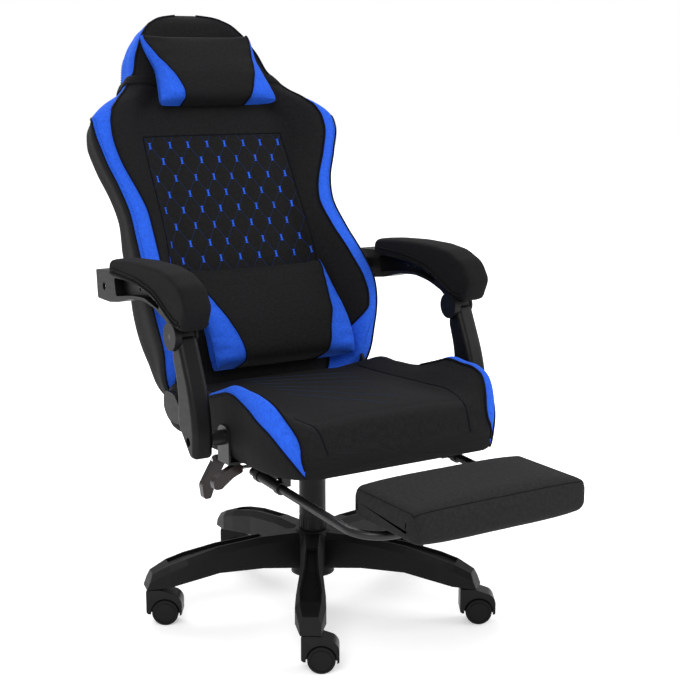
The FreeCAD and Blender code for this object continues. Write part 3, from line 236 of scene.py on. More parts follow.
class Nodes:
    """A node tree that is built in code."""

    tree: bpy.types.NodeTree

    def add(self, kind: str, values: Optional[dict[Any, Any]] = None, **settings: Any) -> Any:
        """Adds a node.

        Args:
            kind: the node's type.
            values: what each input gets, a value or a socket to link.
            settings: the node's own properties.

        Returns:
            The node.
        """
        node = self.tree.nodes.new(kind)
        for key, value in settings.items():
            setattr(node, key, value)
        for key, value in (values or {}).items():
            self.feed(node.inputs[key], value)
        return node

    def feed(self, socket: Any, value: Any) -> None:
        """Links a socket to an input, or sets the input's value.

        Args:
            socket: the input.
            value: a socket, or a value.
        """
        if isinstance(value, bpy.types.NodeSocket):
            self.tree.links.new(value, socket)
        else:
            socket.default_value = value

    def math(self, operation: str, a: Any, b: Any = 0.0) -> Any:
        """A value made from one or two others."""
        return self.add("ShaderNodeMath", {0: a, 1: b}, operation=operation).outputs[0]


class Graph(Nodes):
    """A material's node tree, built a few words at a time."""

    def __init__(self, name: str) -> None:
        """Starts a material with a principled shader.

        Args:
            name: the material's name.
        """
        self.material = bpy.data.materials.new(name)
        self.material.use_nodes = True
        self.tree = self.material.node_tree
        self.tree.nodes.clear()
        self.shader = self.add("ShaderNodeBsdfPrincipled")
        self.output = self.add("ShaderNodeOutputMaterial", {"Surface": self.shader.outputs[0]})
        self.coords = self.add("ShaderNodeTexCoord").outputs["Object"]

    def use_uv(self) -> None:
        """Patterns follow the piece's own cloth map from here on."""
        self.coords = self.add("ShaderNodeUVMap", uv_map="cloth").outputs["UV"]

    def scaled(self, scale: Sequence[float]) -> Any:
        """The pattern's coordinates, stretched."""
        return self.add("ShaderNodeMapping", {"Vector": self.coords, "Scale": scale}).outputs[0]

    def noise(self, scale: float, detail: float = 3.0, rough: float = 0.5,
              vector: Any = None) -> Any:
        """A noise value between 0 and 1.

        Args:
            scale: how fine it is.
            detail: how many finer layers it has.
            rough: how much the finer layers count.
            vector: other coordinates than the pattern's own.

        Returns:
            The value's socket.
        """
        return self.add("ShaderNodeTexNoise", {
            "Vector": vector or self.coords, "Scale": scale, "Detail": detail,
            "Roughness": rough}).outputs["Fac"]

    def ramp(self, value: Any, low: float, high: float, start: Any, end: Any) -> Any:
        """A colour that runs from one to another.

        Args:
            value: what the colour follows.
            low: the value where the run starts.
            high: the value where it ends.
            start: the colour at low.
            end: the colour at high.

        Returns:
            The colour's socket.
        """
        node = self.add("ShaderNodeValToRGB", {"Fac": value})
        node.color_ramp.elements[0].position, node.color_ramp.elements[1].position = low, high
        node.color_ramp.elements[0].color = (*start, 1.0)
        node.color_ramp.elements[1].color = (*end, 1.0)
        return node.outputs["Color"]

    def spread(self, value: Any, low: float, high: float, start: float = 0.0,
               end: float = 1.0) -> Any:
        """Maps a value's range onto another.

        Args:
            value: the value.
            low: what start becomes.
            high: what end becomes.
            start: the lower end of the value's range.
            end: its upper end.

        Returns:
            The mapped value's socket.
        """
        return self.add("ShaderNodeMapRange", {
            "Value": value, "From Min": start, "From Max": end, "To Min": low,
            "To Max": high}).outputs["Result"]

    def mix(self, share: Any, a: Any, b: Any) -> Any:
        """Two colours blended.

        Args:
            share: how much of the second colour shows.
            a: the first colour.
            b: the second colour.

        Returns:
            The colour's socket.
        """
        node = self.add("ShaderNodeMix", {0: share}, data_type="RGBA")
        for socket, value in ((node.inputs[6], a), (node.inputs[7], b)):
            self.feed(socket, opaque(value))
        return node.outputs[2]

    def bump(self, height: Any, strength: float, depth: float, under: Any = None) -> Any:
        """A bump over another one.

        Args:
            height: the height value.
            strength: how much it counts.
            depth: its depth in metres.
            under: the normal beneath it.

        Returns:
            The normal.
        """
        values = {"Height": height, "Strength": strength, "Distance": depth}
        if under is not None:
            values["Normal"] = under
        return self.add("ShaderNodeBump", values).outputs[0]

    def finish(self, color: Any, rough: Any, normal: Any, **constants: float) -> bpy.types.Material:
        """Connects the shader and sets its constants.

        Args:
            color: base colour.
            rough: roughness.
            normal: the final normal.
            constants: other shader sockets by name, with underscores for spaces.

        Returns:
            The material.
        """
        for key, value in (("Base Color", opaque(color)), ("Roughness", rough),
                           ("Normal", normal)):
            self.feed(self.shader.inputs[key], value)
        for key, value in constants.items():
            self.shader.inputs[key.replace("_", " ")].default_value = value
        return self.material


def toned(color: Color, by: float) -> Color:
    """A colour made lighter or darker."""
    return tuple(min(1.0, c * by) for c in color)


@dataclass(frozen=True)
class Fabric:
    """A woven cover: crossed yarns, uneven dye, fuzz, and puckers beside its seams that also carry painted shade.
    """

    name: str
    color: Color
    fleck: float = 0.25
    yarn: float = 1.5 * MM
    sheen: float = 0.06
    roughness: float = 0.88
    relief: float = 0.35
    yarn_depth: float = 0.35 * MM
    fold_depth: float = 5.0 * MM
    line_depth: float = 1.5 * MM
    # where a quilting line starts and ends to fade, as shares of the pitch
    line_edges: tuple[float, float] = (0.012, 0.034)
    # whether it follows the piece's own cloth map
    mapped: bool = True
    # the quilting's pitch, its height and where it starts
    quilt: Optional[tuple[float, float, float]] = None
    thread: Color = (0.01, 0.03, 0.12)

    def weave(self, g: Graph) -> Any:
        """The height of the crossed yarns.

        Args:
            g: the material's graph.

        Returns:
            The height's socket.
        """
        across, along = (g.add("ShaderNodeTexWave", {
            "Vector": g.coords, "Scale": WAVE_PERIOD / self.yarn, "Distortion": 0.6,
            "Detail": 1.0}, bands_direction=way).outputs["Fac"] for way in "XY")
        return g.math("MAXIMUM", g.math("MULTIPLY", across, 0.9), along)

    def lattice(self, g: Graph) -> Any:
        """How near a point is to the quilting's crossed lines.

        Args:
            g: the material's graph.

        Returns:
            A value that is 1 on a line and 0 between the lines.
        """
        width, height, start = self.quilt
        parts = g.add("ShaderNodeSeparateXYZ", {0: g.coords})
        a = g.math("DIVIDE", parts.outputs[0], width)
        b = g.math("DIVIDE", g.math("SUBTRACT", parts.outputs[1], start), height)
        lines = [g.math("PINGPONG", g.math(way, a, b), 0.5) for way in ("ADD", "SUBTRACT")]
        return g.spread(g.math("MINIMUM", *lines), 1.0, 0.0, *self.line_edges)

    def material(self) -> bpy.types.Material:
        """Builds the material.

        Returns:
            The material.
        """
        g = Graph(self.name)
        if self.mapped:
            g.use_uv()
        flecks = g.noise(520.0, detail=2.0, rough=0.6)
        slubs = g.noise(1.0, detail=2.0, rough=0.6, vector=g.scaled((90.0, 700.0, 400.0)))
        patchy = g.noise(7.0, detail=4.0, rough=0.55)
        mottle = g.noise(150.0, detail=3.0, rough=0.7)
        tone = g.math("ADD", g.math("MULTIPLY", flecks, 0.6), g.math("MULTIPLY", slubs, 0.4))
        color = g.ramp(tone, 0.32, 0.68, toned(self.color, 1 - self.fleck),
                       toned(self.color, 1 + self.fleck * 1.6))
        color = g.mix(g.spread(patchy, 0.0, 0.34), color, toned(self.color, 0.62))
        color = g.mix(g.spread(mottle, -0.5, 1.2), color, toned(self.color, 1 + self.fleck * 2.2))
        weave = self.weave(g)
        normal = g.bump(weave, self.relief, self.yarn_depth)
        if self.mapped:
            near = g.add("ShaderNodeAttribute", attribute_name="pucker_and_shade").outputs["Fac"]
            folds = g.noise(1.0, detail=2.0, rough=0.45, vector=g.scaled((14.0, 62.0, 30.0)))
            normal = g.bump(g.math("MULTIPLY", folds, near), 0.75, self.fold_depth, normal)
            # Painted shade: the cloth is darkened by the mask read above, beside seams, at the pillows' ends and
            # along the blocks' rounded rims.
            color = g.mix(g.math("MULTIPLY", near, 0.3), color, toned(self.color, 0.35))
        if self.quilt:
            line = self.lattice(g)
            normal = g.bump(g.math("MULTIPLY", line, -1.0), 0.8, self.line_depth, normal)
            color = g.mix(g.math("MULTIPLY", line, 0.55), color, self.thread)
        rough = g.spread(flecks, self.roughness - 0.06, min(1.0, self.roughness + 0.08))
        g.shader.inputs["Sheen Tint"].default_value = (*toned(self.color, 6.0), 1.0)
        return g.finish(color, rough, normal, Sheen_Weight=self.sheen, Sheen_Roughness=0.45,
                        Specular_IOR_Level=0.16)


@dataclass(frozen=True)
class Moulded:
    """Moulded plastic: fine grain, faint flow marks and painted highlights on convex edges."""

    name: str
    color: Color
    roughness: float = 0.42
    grain: float = 0.4
    pitch: float = 900.0
    coat: float = 0.0
    # the colour of the painted highlight on convex edges
    edge_highlight: Color = (0.012, 0.012, 0.0125)

    def material(self) -> bpy.types.Material:
        """Builds the material.

        Returns:
            The material.
        """
        g = Graph(self.name)
        stipple = g.add("ShaderNodeTexVoronoi", {"Vector": g.coords, "Scale": self.pitch},
                        feature="SMOOTH_F1").outputs["Distance"]
        clouds = g.noise(9.0, detail=4.0, rough=0.6)
        smear = g.noise(1.0, rough=0.6, vector=g.scaled((30.0, 30.0, 160.0)))
        color = g.ramp(clouds, 0.3, 0.7, toned(self.color, 0.85), toned(self.color, 1.18))
        # Painted highlight: convex edges, found by their pointiness, take the edge colour, lighter than the dark
        # plastics' own.
        edge = g.math("SUBTRACT", g.add("ShaderNodeNewGeometry").outputs["Pointiness"], 0.52)
        edge_highlight_share = g.math("MULTIPLY", g.math("MAXIMUM", edge, 0.0), 5.0)
        color = g.mix(g.math("MINIMUM", edge_highlight_share, 0.4), color, self.edge_highlight)
        rough = g.spread(smear, self.roughness - 0.07, self.roughness + 0.09)
        normal = g.bump(stipple, self.grain, 0.12 * MM)
        return g.finish(color, rough, normal, Coat_Weight=self.coat, Coat_Roughness=0.12,
                        Specular_IOR_Level=0.17)


@dataclass(frozen=True)
class Steel:
    """Steel, bare and brushed or under paint."""

    name: str
    color: Color
    painted: bool = False
    roughness: float = 0.34

    def material(self) -> bpy.types.Material:
        """Builds the material.

        Returns:
            The material.
        """
        g = Graph(self.name)
        hairs = g.noise(1.0, rough=0.6, vector=g.scaled((60.0, 900.0, 900.0)))
        peel = g.noise(240.0, detail=2.0)
        grime = g.noise(14.0, detail=5.0, rough=0.6)
        color = g.mix(g.spread(grime, 0.0, 0.3), self.color, toned(self.color, 0.55))
        rough = g.spread(grime, self.roughness - 0.05, self.roughness + 0.14)
        height = peel if self.painted else hairs
        normal = g.bump(height, 0.25, (0.12 if self.painted else 0.04) * MM)
        return g.finish(color, rough, normal, Metallic=0.0 if self.painted else 1.0,
                        Coat_Weight=0.15 if self.painted else 0.0, Coat_Roughness=0.25,
                        Specular_IOR_Level=0.3)


@dataclass(frozen=True)
class Thread:
    """Sewing thread and piping cord: a fine twist along its length."""

    name: str
    color: Color
    roughness: float = 0.6
    twist: float = 420.0

    def material(self) -> bpy.types.Material:
        """Builds the material.

        Returns:
            The material.
        """
        g = Graph(self.name)
        ply = g.add("ShaderNodeTexWave", {"Vector": g.coords, "Scale": self.twist,
                                          "Distortion": 1.0}, bands_direction="DIAGONAL")
        fuzz = g.noise(600.0, detail=2.0)
        color = g.ramp(g.noise(60.0, detail=2.0), 0.3, 0.7, toned(self.color, 0.8),
                       toned(self.color, 1.25))
        normal = g.bump(fuzz, 0.3, 0.15 * MM, g.bump(ply.outputs["Fac"], 0.5, 0.2 * MM))
        return g.finish(color, g.spread(fuzz, self.roughness - 0.1, self.roughness + 0.1), normal,
                        Specular_IOR_Level=0.12)


class Finishes:
    """Every finish on the chair, built once and shared."""

    BLUE: Color = (0.018, 0.095, 0.62)
    BLACK: Color = (0.0052, 0.0052, 0.0057)

    def __init__(self) -> None:
        """Builds the materials."""
        quilt = (Backrest.quilt_pitch, 2 * Backrest.quilt_rise, Backrest.quilt_top)
        self.black = Fabric("black_weave", self.BLACK, fleck=0.75).material()
        self.flank = Fabric("flank_weave", toned(self.BLACK, 1.1), fleck=0.6,
                            roughness=0.8).material()
        self.blue = Fabric("blue_weave", self.BLUE, fleck=0.3, sheen=0.08,
                           relief=0.45).material()
        self.quilted = Fabric("quilted_weave", toned(self.BLACK, 1.05), fleck=0.6,
                              quilt=quilt).material()
        self.heather = Fabric("heather_weave", (0.0105, 0.0105, 0.011), fleck=0.6,
                              yarn=1.9 * MM, sheen=0.05).material()
        self.pad = Fabric("pad_weave", (0.0055, 0.0055, 0.006), fleck=0.35,
                          sheen=0.05).material()
        self.plain_fabric = Fabric("plain_weave", (0.0055, 0.0055, 0.006), mapped=False).material()
        self.pad_cord = Thread("pad_cord", (0.004, 0.004, 0.0045), 0.8).material()
        self.webbing = Fabric("strap_weave", (0.005, 0.005, 0.0055), yarn=2.4 * MM, sheen=0.03,
                              relief=0.7).material()
        self.piping = Thread("piping_cord", (0.0025, 0.003, 0.006), 0.8).material()
        self.blue_thread = Thread("blue_thread", (0.02, 0.11, 0.72), 0.45).material()
        self.dark_thread = Thread("dark_thread", (0.012, 0.05, 0.3), 0.6).material()
        self.chevron_thread = Thread("chevron_thread", (0.016, 0.04, 0.1), 0.7).material()
        self.nylon = Moulded("base_nylon_finish", (0.0036, 0.0036, 0.0038), 0.5).material()
        self.arm_plastic = Moulded("arm_plastic_finish", (0.0028, 0.0028, 0.0029), 0.46,
                                   grain=0.3).material()
        self.trim_plastic = Moulded("trim_plastic_finish", (0.0034, 0.0034, 0.0036), 0.46).material()
        self.caster = Moulded("caster_finish", (0.0035, 0.0035, 0.0038), 0.36, grain=0.15).material()
        self.tread = Moulded("tread_finish", (0.005, 0.005, 0.0053), 0.6, grain=0.5).material()
        # The levers' reddish edge colour is a painted highlight: their glints.
        self.lever = Moulded("lever_finish", (0.0032, 0.0014, 0.0014), 0.36, grain=0.08,
                             coat=0.35, edge_highlight=(0.02, 0.005, 0.005)).material()
        self.bush = Moulded("bush_finish", (0.04, 0.04, 0.04), 0.5).material()
        self.painted = Steel("painted_steel", (0.0032, 0.0032, 0.0035), True, 0.42).material()
        self.zinc = Steel("zinc_steel_finish", (0.5, 0.51, 0.53)).material()

    def for_slot(self, slot: str) -> bpy.types.Material:
        """The finish of a carried-over piece.

        Args:
            slot: the piece's material slot in the record.

        Returns:
            The material.
        """
        return {"base_nylon": self.nylon, "black_steel": self.painted,
                "black_plastic": self.arm_plastic, "bush_plastic": self.bush,
                "zinc_steel": self.zinc, "lever_plastic": self.lever,
                "black_fabric": self.plain_fabric, "heather_fabric": self.plain_fabric,
                "caster_plastic": self.caster}[slot]


# ---------------------------------------------------------------- meshes


def add_object(name: str, mesh: bpy.types.Mesh) -> bpy.types.Object:
    """Links a new object that shows a mesh.

    Args:
        name: the object's name.
        mesh: what it shows.

    Returns:
        The object.
    """
    piece = bpy.data.objects.new(name, mesh)
    bpy.context.scene.collection.objects.link(piece)
    return piece


def soften(mesh: bpy.types.Mesh) -> None:
    """Shades every face smooth."""
    mesh.polygons.foreach_set("use_smooth", np.ones(len(mesh.polygons), bool))
    mesh.update()


def make_outward(mesh: bpy.types.Mesh) -> None:
    """Turns every face of a closed mesh outwards.

    Args:
        mesh: the mesh, changed in place.
    """
    work = bmesh.new()
    work.from_mesh(mesh)
    bmesh.ops.remove_doubles(work, verts=work.verts, dist=1e-6)
    bmesh.ops.recalc_face_normals(work, faces=work.faces)
    work.to_mesh(mesh)
    work.free()


def points_of(piece: bpy.types.Object) -> np.ndarray:
    """A mesh's points.

    Args:
        piece: the object.

    Returns:
        Rows of three.
    """
    points = np.zeros(len(piece.data.vertices) * 3)
    piece.data.vertices.foreach_get("co", points)
    return points.reshape(-1, 3)


def mirrored(half: np.ndarray) -> np.ndarray:
    """A closed ring from half a section, the sitter's right first."""
    return np.concatenate([half[::-1] * [-1, 1], half[1:-1]])


def hand_over(piece: bpy.types.Object, body: str, node: str) -> None:
    """Puts a padded cover on its body, in place of the solid it covers.

    Args:
        piece: the cover.
        body: the body it rides on.
        node: the solid it stands for.
    """
    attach(piece, body)
    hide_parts(node)
    log.info("%s: %d faces", piece.name, len(piece.data.polygons))


@dataclass
class Skin:
    """A closed cover: rows of points round a piece, rings closed, ends capped."""

    points: np.ndarray
    cover: np.ndarray
    map_u: np.ndarray
    map_v: np.ndarray
    pucker_and_shade: np.ndarray

    def crossed(self) -> np.ndarray:
        """The cross product of the ring's and the row's direction at every point."""
        around = np.roll(self.points, -1, axis=1) - np.roll(self.points, 1, axis=1)
        return np.cross(around, np.gradient(self.points, axis=0))

    def normals(self) -> np.ndarray:
        """Outward unit normals.

        Returns:
            A normal at every point.
        """
        normal = self.crossed()
        normal /= np.linalg.norm(normal, axis=2, keepdims=True) + 1e-12
        return normal * (1.0 if self.outward() else -1.0)

    def outward(self) -> bool:
        """Whether rings cross rows with their normals outwards."""
        middle = self.points.mean(axis=1, keepdims=True)
        return float(((self.points - middle) * self.crossed()).sum()) > 0

    def raised(self, rows: np.ndarray, columns: np.ndarray, lift: float) -> tuple[Any, Any]:
        """Points along the skin, lifted off it.

        Args:
            rows: row indices.
            columns: column indices.
            lift: distance along the normal.

        Returns:
            The points and their normals.
        """
        normal = self.normals()[rows, columns]
        return self.points[rows, columns] + normal * lift, normal

    def build(self, name: str, materials: Sequence[bpy.types.Material]) -> bpy.types.Object:
        """Makes the object, with its map, the mask of puckers and their painted shade, and finishes.

        Args:
            name: the piece's name.
            materials: the materials in slot order.

        Returns:
            The object.
        """
        rows, columns = self.points.shape[:2]
        index = np.arange(rows * columns).reshape(rows, columns)
        after = np.roll(index, -1, axis=1)
        quads = np.stack([index[:-1], after[:-1], after[1:], index[1:]], axis=-1)
        flip = 1 if self.outward() else -1
        faces = [tuple(q) for q in quads[..., ::flip].reshape(-1, 4).tolist()]
        caps = [tuple(index[0][::-flip].tolist()), tuple(index[-1][::flip].tolist())]
        mesh = bpy.data.meshes.new(name)
        mesh.from_pydata(self.points.reshape(-1, 3).tolist(), [], faces + caps)
        for material in materials:
            mesh.materials.append(material)
        slots = np.concatenate([self.cover.reshape(-1), [self.cover[0].min(), self.cover[-1].min()]])
        mesh.polygons.foreach_set("material_index", slots.astype(np.int32))
        self._map(mesh, len(faces) * 4)
        attribute = mesh.attributes.new("pucker_and_shade", "FLOAT", "POINT")
        attribute.data.foreach_set("value", self.pucker_and_shade.reshape(-1).astype(np.float32))
        soften(mesh)
        return add_object(name, mesh)

    def _map(self, mesh: bpy.types.Mesh, count: int) -> None:
        """Lays the cloth map on the mesh, unbroken where a ring closes.

        Args:
            mesh: the cover's mesh.
            count: how many corners its four-sided faces have.
        """
        columns = self.points.shape[1]
        spots = np.zeros(len(mesh.loops), np.int32)
        mesh.loops.foreach_get("vertex_index", spots)
        row, column = spots // columns, spots % columns
        corner = np.column_stack([self.map_u[row, column], self.map_v[row, column]])
        face_row, face_column = row[:count].reshape(-1, 4), column[:count].reshape(-1, 4)
        closing = (face_column == columns - 1).any(axis=1)
        ring_end = ((face_column == 0) & closing[:, None]).reshape(-1)
        wrap = self.map_u[face_row, columns].reshape(-1)
        corner[:count, 0] = np.where(ring_end, wrap, corner[:count, 0])
        layer = mesh.uv_layers.new(name="cloth")
        layer.data.foreach_set("uv", corner.astype(np.float32).reshape(-1))


def capped(points: np.ndarray, steps: int, depth: float) -> np.ndarray:
    """Closes a skin's two ends with low domes.

    Args:
        points: rows of ring points.
        steps: rows added at each end.
        depth: how far the dome stands out.

    Returns:
        The rows with the domes' rows added.
    """
    def dome(ring: np.ndarray, outward: np.ndarray) -> list[np.ndarray]:
        """Rings that shrink to the end ring's middle.

        Args:
            ring: the end ring.
            outward: the way out.

        Returns:
            The rings, outermost last.
        """
        middle = ring.mean(axis=0)
        rings = []
        for k in range(1, steps + 1):
            angle = math.pi / 2 * k / steps
            rings.append(middle + (ring - middle) * max(math.cos(angle), 0.02)
                         + outward * depth * math.sin(angle))
        return rings

    def direction(ring: np.ndarray, inner: np.ndarray) -> np.ndarray:
        """The way out at an end, square to its ring.

        Args:
            ring: the end ring.
            inner: a ring further in.

        Returns:
            The unit vector.
        """
        spokes = ring - ring.mean(axis=0)
        normal = np.cross(spokes, np.roll(spokes, -1, axis=0)).sum(axis=0)
        normal /= np.linalg.norm(normal)
        return normal * np.sign(normal @ (ring.mean(axis=0) - inner.mean(axis=0)))

    start = dome(points[0], direction(points[0], points[3]))[::-1]
    end = dome(points[-1], direction(points[-1], points[-4]))
    return np.concatenate([np.array(start), points, np.array(end)])


def padded_rows(values: np.ndarray, steps: int) -> np.ndarray:
    """Repeats the end rows of a table for a skin's domes."""
    return np.concatenate([values[:1].repeat(steps, 0), values, values[-1:].repeat(steps, 0)])


# ---------------------------------------------------------------- repeated details


class Tree(Nodes):
    """A Geometry Nodes tree with named inputs, made in code."""

    def __init__(self, name: str, inputs: dict[str, str]) -> None:
        """Starts a tree.

        Args:
            name: the tree's name.
            inputs: input names and their socket types.
        """
        self.tree = bpy.data.node_groups.new(name, "GeometryNodeTree")
        face = self.tree.interface
        face.new_socket("Geometry", in_out="INPUT", socket_type="NodeSocketGeometry")
        for key, kind in inputs.items():
            face.new_socket(key, in_out="INPUT", socket_type=kind)
        face.new_socket("Geometry", in_out="OUTPUT", socket_type="NodeSocketGeometry")
        self.source = self.tree.nodes.new("NodeGroupInput")
        self.target = self.tree.nodes.new("NodeGroupOutput")

    def given(self, name: str) -> Any:
        """The socket of a named input."""
        return self.source.outputs[name]

    def close(self, geometry: Any) -> None:
        """Ends the tree in real geometry with its material.

        Args:
            geometry: the socket of what the tree makes.
        """
        real = self.add("GeometryNodeRealizeInstances", {0: geometry})
        dressed = self.add("GeometryNodeSetMaterial", {"Geometry": real.outputs[0],
                                                       "Material": self.given("Material")})
        smooth = self.add("GeometryNodeSetShadeSmooth", {0: dressed.outputs[0]})
        self.tree.links.new(smooth.outputs[0], self.target.inputs[0])

    def apply(self, piece: bpy.types.Object, values: dict[str, Any]) -> bpy.types.Object:
        """Runs the tree on an object and keeps the plain mesh it makes.

        Args:
            piece: the object that carries the source geometry.
            values: the named inputs.

        Returns:
            The same object with its new mesh.
        """
        modifier = piece.modifiers.new("detail", "NODES")
        modifier.node_group = self.tree
        for item in self.tree.interface.items_tree:
            if item.in_out == "INPUT" and item.name in values:
                modifier[item.identifier] = values[item.name]
        bpy.context.view_layer.update()
        graph = bpy.context.evaluated_depsgraph_get()
        made = bpy.data.meshes.new_from_object(piece.evaluated_get(graph))
        piece.modifiers.clear()
        piece.data = made
        return piece


class Details:
    """The repeated details: piping, stitches, quilting ties, rings."""

    def __init__(self) -> None:
        """Builds each tree once."""
        self.piping = self._piping()
        self.stitches = self._stitches()
        self.ties = self._ties()
        self.rings = self._rings()

    def _piping(self) -> Tree:
        """A round cord along edges.

        Returns:
            The tree.
        """
        t = Tree("piping", {"Radius": "NodeSocketFloat", "Sides": "NodeSocketInt",
                            "Material": "NodeSocketMaterial"})
        line = t.add("GeometryNodeMeshToCurve", {"Mesh": t.given("Geometry")})
        circle = t.add("GeometryNodeCurvePrimitiveCircle", {"Resolution": t.given("Sides"),
                                                            "Radius": t.given("Radius")})
        tube = t.add("GeometryNodeCurveToMesh", {"Curve": line.outputs[0],
                                                 "Profile Curve": circle.outputs[0],
                                                 "Fill Caps": True})
        t.close(tube.outputs[0])
        return t

    def _aligned(self, t: Tree, points: Any, normal: str, along: str, instance: Any) -> Any:
        """Instances that stand on a normal and turn to a direction.

        Args:
            t: the tree.
            points: where the instances stand.
            normal: the attribute that holds each normal.
            along: the attribute that holds each direction.
            instance: what is repeated.

        Returns:
            The instances' socket.
        """
        up = t.add("GeometryNodeInputNamedAttribute", {"Name": normal}, data_type="FLOAT_VECTOR")
        way = t.add("GeometryNodeInputNamedAttribute", {"Name": along}, data_type="FLOAT_VECTOR")
        first = t.add("FunctionNodeAlignRotationToVector", {"Vector": up.outputs[0]}, axis="Z")
        turn = t.add("FunctionNodeAlignRotationToVector",
                     {"Rotation": first.outputs[0], "Vector": way.outputs[0]},
                     axis="X", pivot_axis="Z")
        placed = t.add("GeometryNodeInstanceOnPoints", {
            "Points": points, "Instance": instance, "Rotation": turn.outputs[0]})
        return placed.outputs[0]

    def _stitches(self) -> Tree:
        """Short threads in a row along edges that carry a normal.

        Returns:
            The tree.
        """
        t = Tree("stitches", {"Spacing": "NodeSocketFloat", "Size": "NodeSocketVector",
                              "Material": "NodeSocketMaterial"})
        line = t.add("GeometryNodeMeshToCurve", {"Mesh": t.given("Geometry")})
        even = t.add("GeometryNodeResampleCurve", {"Curve": line.outputs[0],
                                                   3: t.given("Spacing")}, mode="LENGTH")
        tangent = t.add("GeometryNodeInputTangent")
        kept = t.add("GeometryNodeStoreNamedAttribute", {
            "Geometry": even.outputs[0], "Name": "way", "Value": tangent.outputs[0]},
            data_type="FLOAT_VECTOR", domain="POINT")
        bead = t.add("GeometryNodeMeshUVSphere", {"Segments": 6, "Rings": 4, "Radius": 0.5})
        long = t.add("GeometryNodeTransform", {"Geometry": bead.outputs[0],
                                               "Scale": t.given("Size")})
        t.close(self._aligned(t, kept.outputs[0], "normal", "way", long.outputs[0]))
        return t

    def _ties(self) -> Tree:
        """Embroidered ties: an upright bar with a short bar at each end.

        Returns:
            The tree.
        """
        t = Tree("ties", {"Length": "NodeSocketFloat", "Width": "NodeSocketFloat",
                          "Material": "NodeSocketMaterial"})
        bead = t.add("GeometryNodeMeshUVSphere", {"Segments": 8, "Rings": 4, "Radius": 0.5})
        bars = []
        for size, shift in (((1.0, 0.62, 0.2), 0.0), ((0.2, 1.0, 0.24), 0.44),
                            ((0.2, 1.0, 0.24), -0.44)):
            scale = t.add("ShaderNodeCombineXYZ", {
                axis: t.math("MULTIPLY", t.given(name), size[axis])
                for axis, name in enumerate(("Length", "Width", "Width"))})
            place = t.add("ShaderNodeCombineXYZ", {
                0: t.math("MULTIPLY", t.given("Length"), shift)})
            bars.append(t.add("GeometryNodeTransform", {
                "Geometry": bead.outputs[0], "Translation": place.outputs[0],
                "Scale": scale.outputs[0]}))
        joined = t.add("GeometryNodeJoinGeometry")
        for bar in bars:
            t.tree.links.new(bar.outputs[0], joined.inputs[0])
        points = t.add("GeometryNodeMeshToPoints", {"Mesh": t.given("Geometry")})
        t.close(self._aligned(t, points.outputs[0], "normal", "way", joined.outputs[0]))
        return t

    def _rings(self) -> Tree:
        """Rings across a line of points, for a bellows or a ribbed neck.

        Returns:
            The tree.
        """
        t = Tree("rings", {"Radius": "NodeSocketFloat", "Thickness": "NodeSocketFloat",
                           "Material": "NodeSocketMaterial"})
        hoop = t.add("GeometryNodeCurvePrimitiveCircle", {"Resolution": 24,
                                                          "Radius": t.given("Radius")})
        wire = t.add("GeometryNodeCurvePrimitiveCircle", {"Resolution": 8,
                                                          "Radius": t.given("Thickness")})
        ring = t.add("GeometryNodeCurveToMesh", {"Curve": hoop.outputs[0],
                                                 "Profile Curve": wire.outputs[0]})
        points = t.add("GeometryNodeMeshToPoints", {"Mesh": t.given("Geometry")})
        t.close(self._aligned(t, points.outputs[0], "normal", "way", ring.outputs[0]))
        return t

    @staticmethod
    def carrier(name: str, points: np.ndarray, edges: Sequence[tuple[int, int]],
                **vectors: np.ndarray) -> bpy.types.Object:
        """An object of points and edges with vector attributes.

        Args:
            name: the piece's name.
            points: the points.
            edges: index pairs.
            vectors: attributes by name, one vector a point.

        Returns:
            The object.
        """
        mesh = bpy.data.meshes.new(name)
        mesh.from_pydata(np.asarray(points).tolist(), list(edges), [])
        for key, values in vectors.items():
            layer = mesh.attributes.new(key, "FLOAT_VECTOR", "POINT")
            layer.data.foreach_set("vector", np.asarray(values, np.float32).reshape(-1))
        return add_object(name, mesh)

    def lines(self, tree: Tree, name: str, body: str,
              runs: Sequence[tuple[np.ndarray, np.ndarray, bool]],
              values: dict[str, Any]) -> bpy.types.Object:
        """Makes one piece from several runs of a line detail.

        Args:
            tree: the tree to run.
            name: the piece's name.
            body: the body it rides on.
            runs: (points, normals, closed) of each run.
            values: the tree's inputs.

        Returns:
            The piece.
        """
        points, normals, edges, start = [], [], [], 0
        for run, normal, closed in runs:
            count = len(run)
            edges += [(start + k, start + k + 1) for k in range(count - 1)]
            if closed:
                edges.append((start + count - 1, start))
            points.append(run)
            normals.append(normal)
            start += count
        piece = self.carrier(name, np.concatenate(points), edges, normal=np.concatenate(normals))
        tree.apply(piece, values)
        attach(piece, body)
        log.info("%s: %d faces", name, len(piece.data.polygons))
        return piece

    def cord(self, name: str, body: str, runs: Sequence[tuple[np.ndarray, np.ndarray, bool]],
             radius: float, material: bpy.types.Material, sides: int = 8,
             slot: str = "black_fabric") -> None:
        """Makes one piece of piping.

        Args:
            name: the piece's name.
            body: the body it rides on.
            runs: (points, normals, closed) of each run.
            radius: the cord's radius.
            material: its finish.
            sides: how many sides the cord has.
            slot: not used.
        """
        self.lines(self.piping, name, body, runs, {
            "Radius": radius, "Sides": sides, "Material": material})


# ---------------------------------------------------------------- stuffing


def tree_of(points: np.ndarray) -> KDTree:
    """A search tree over points.

    Args:
        points: rows of three.

    Returns:
        The tree, ready to search.
    """
    tree = KDTree(len(points))
    for k, point in enumerate(points):
        tree.insert(point, k)
    tree.balance()
    return tree


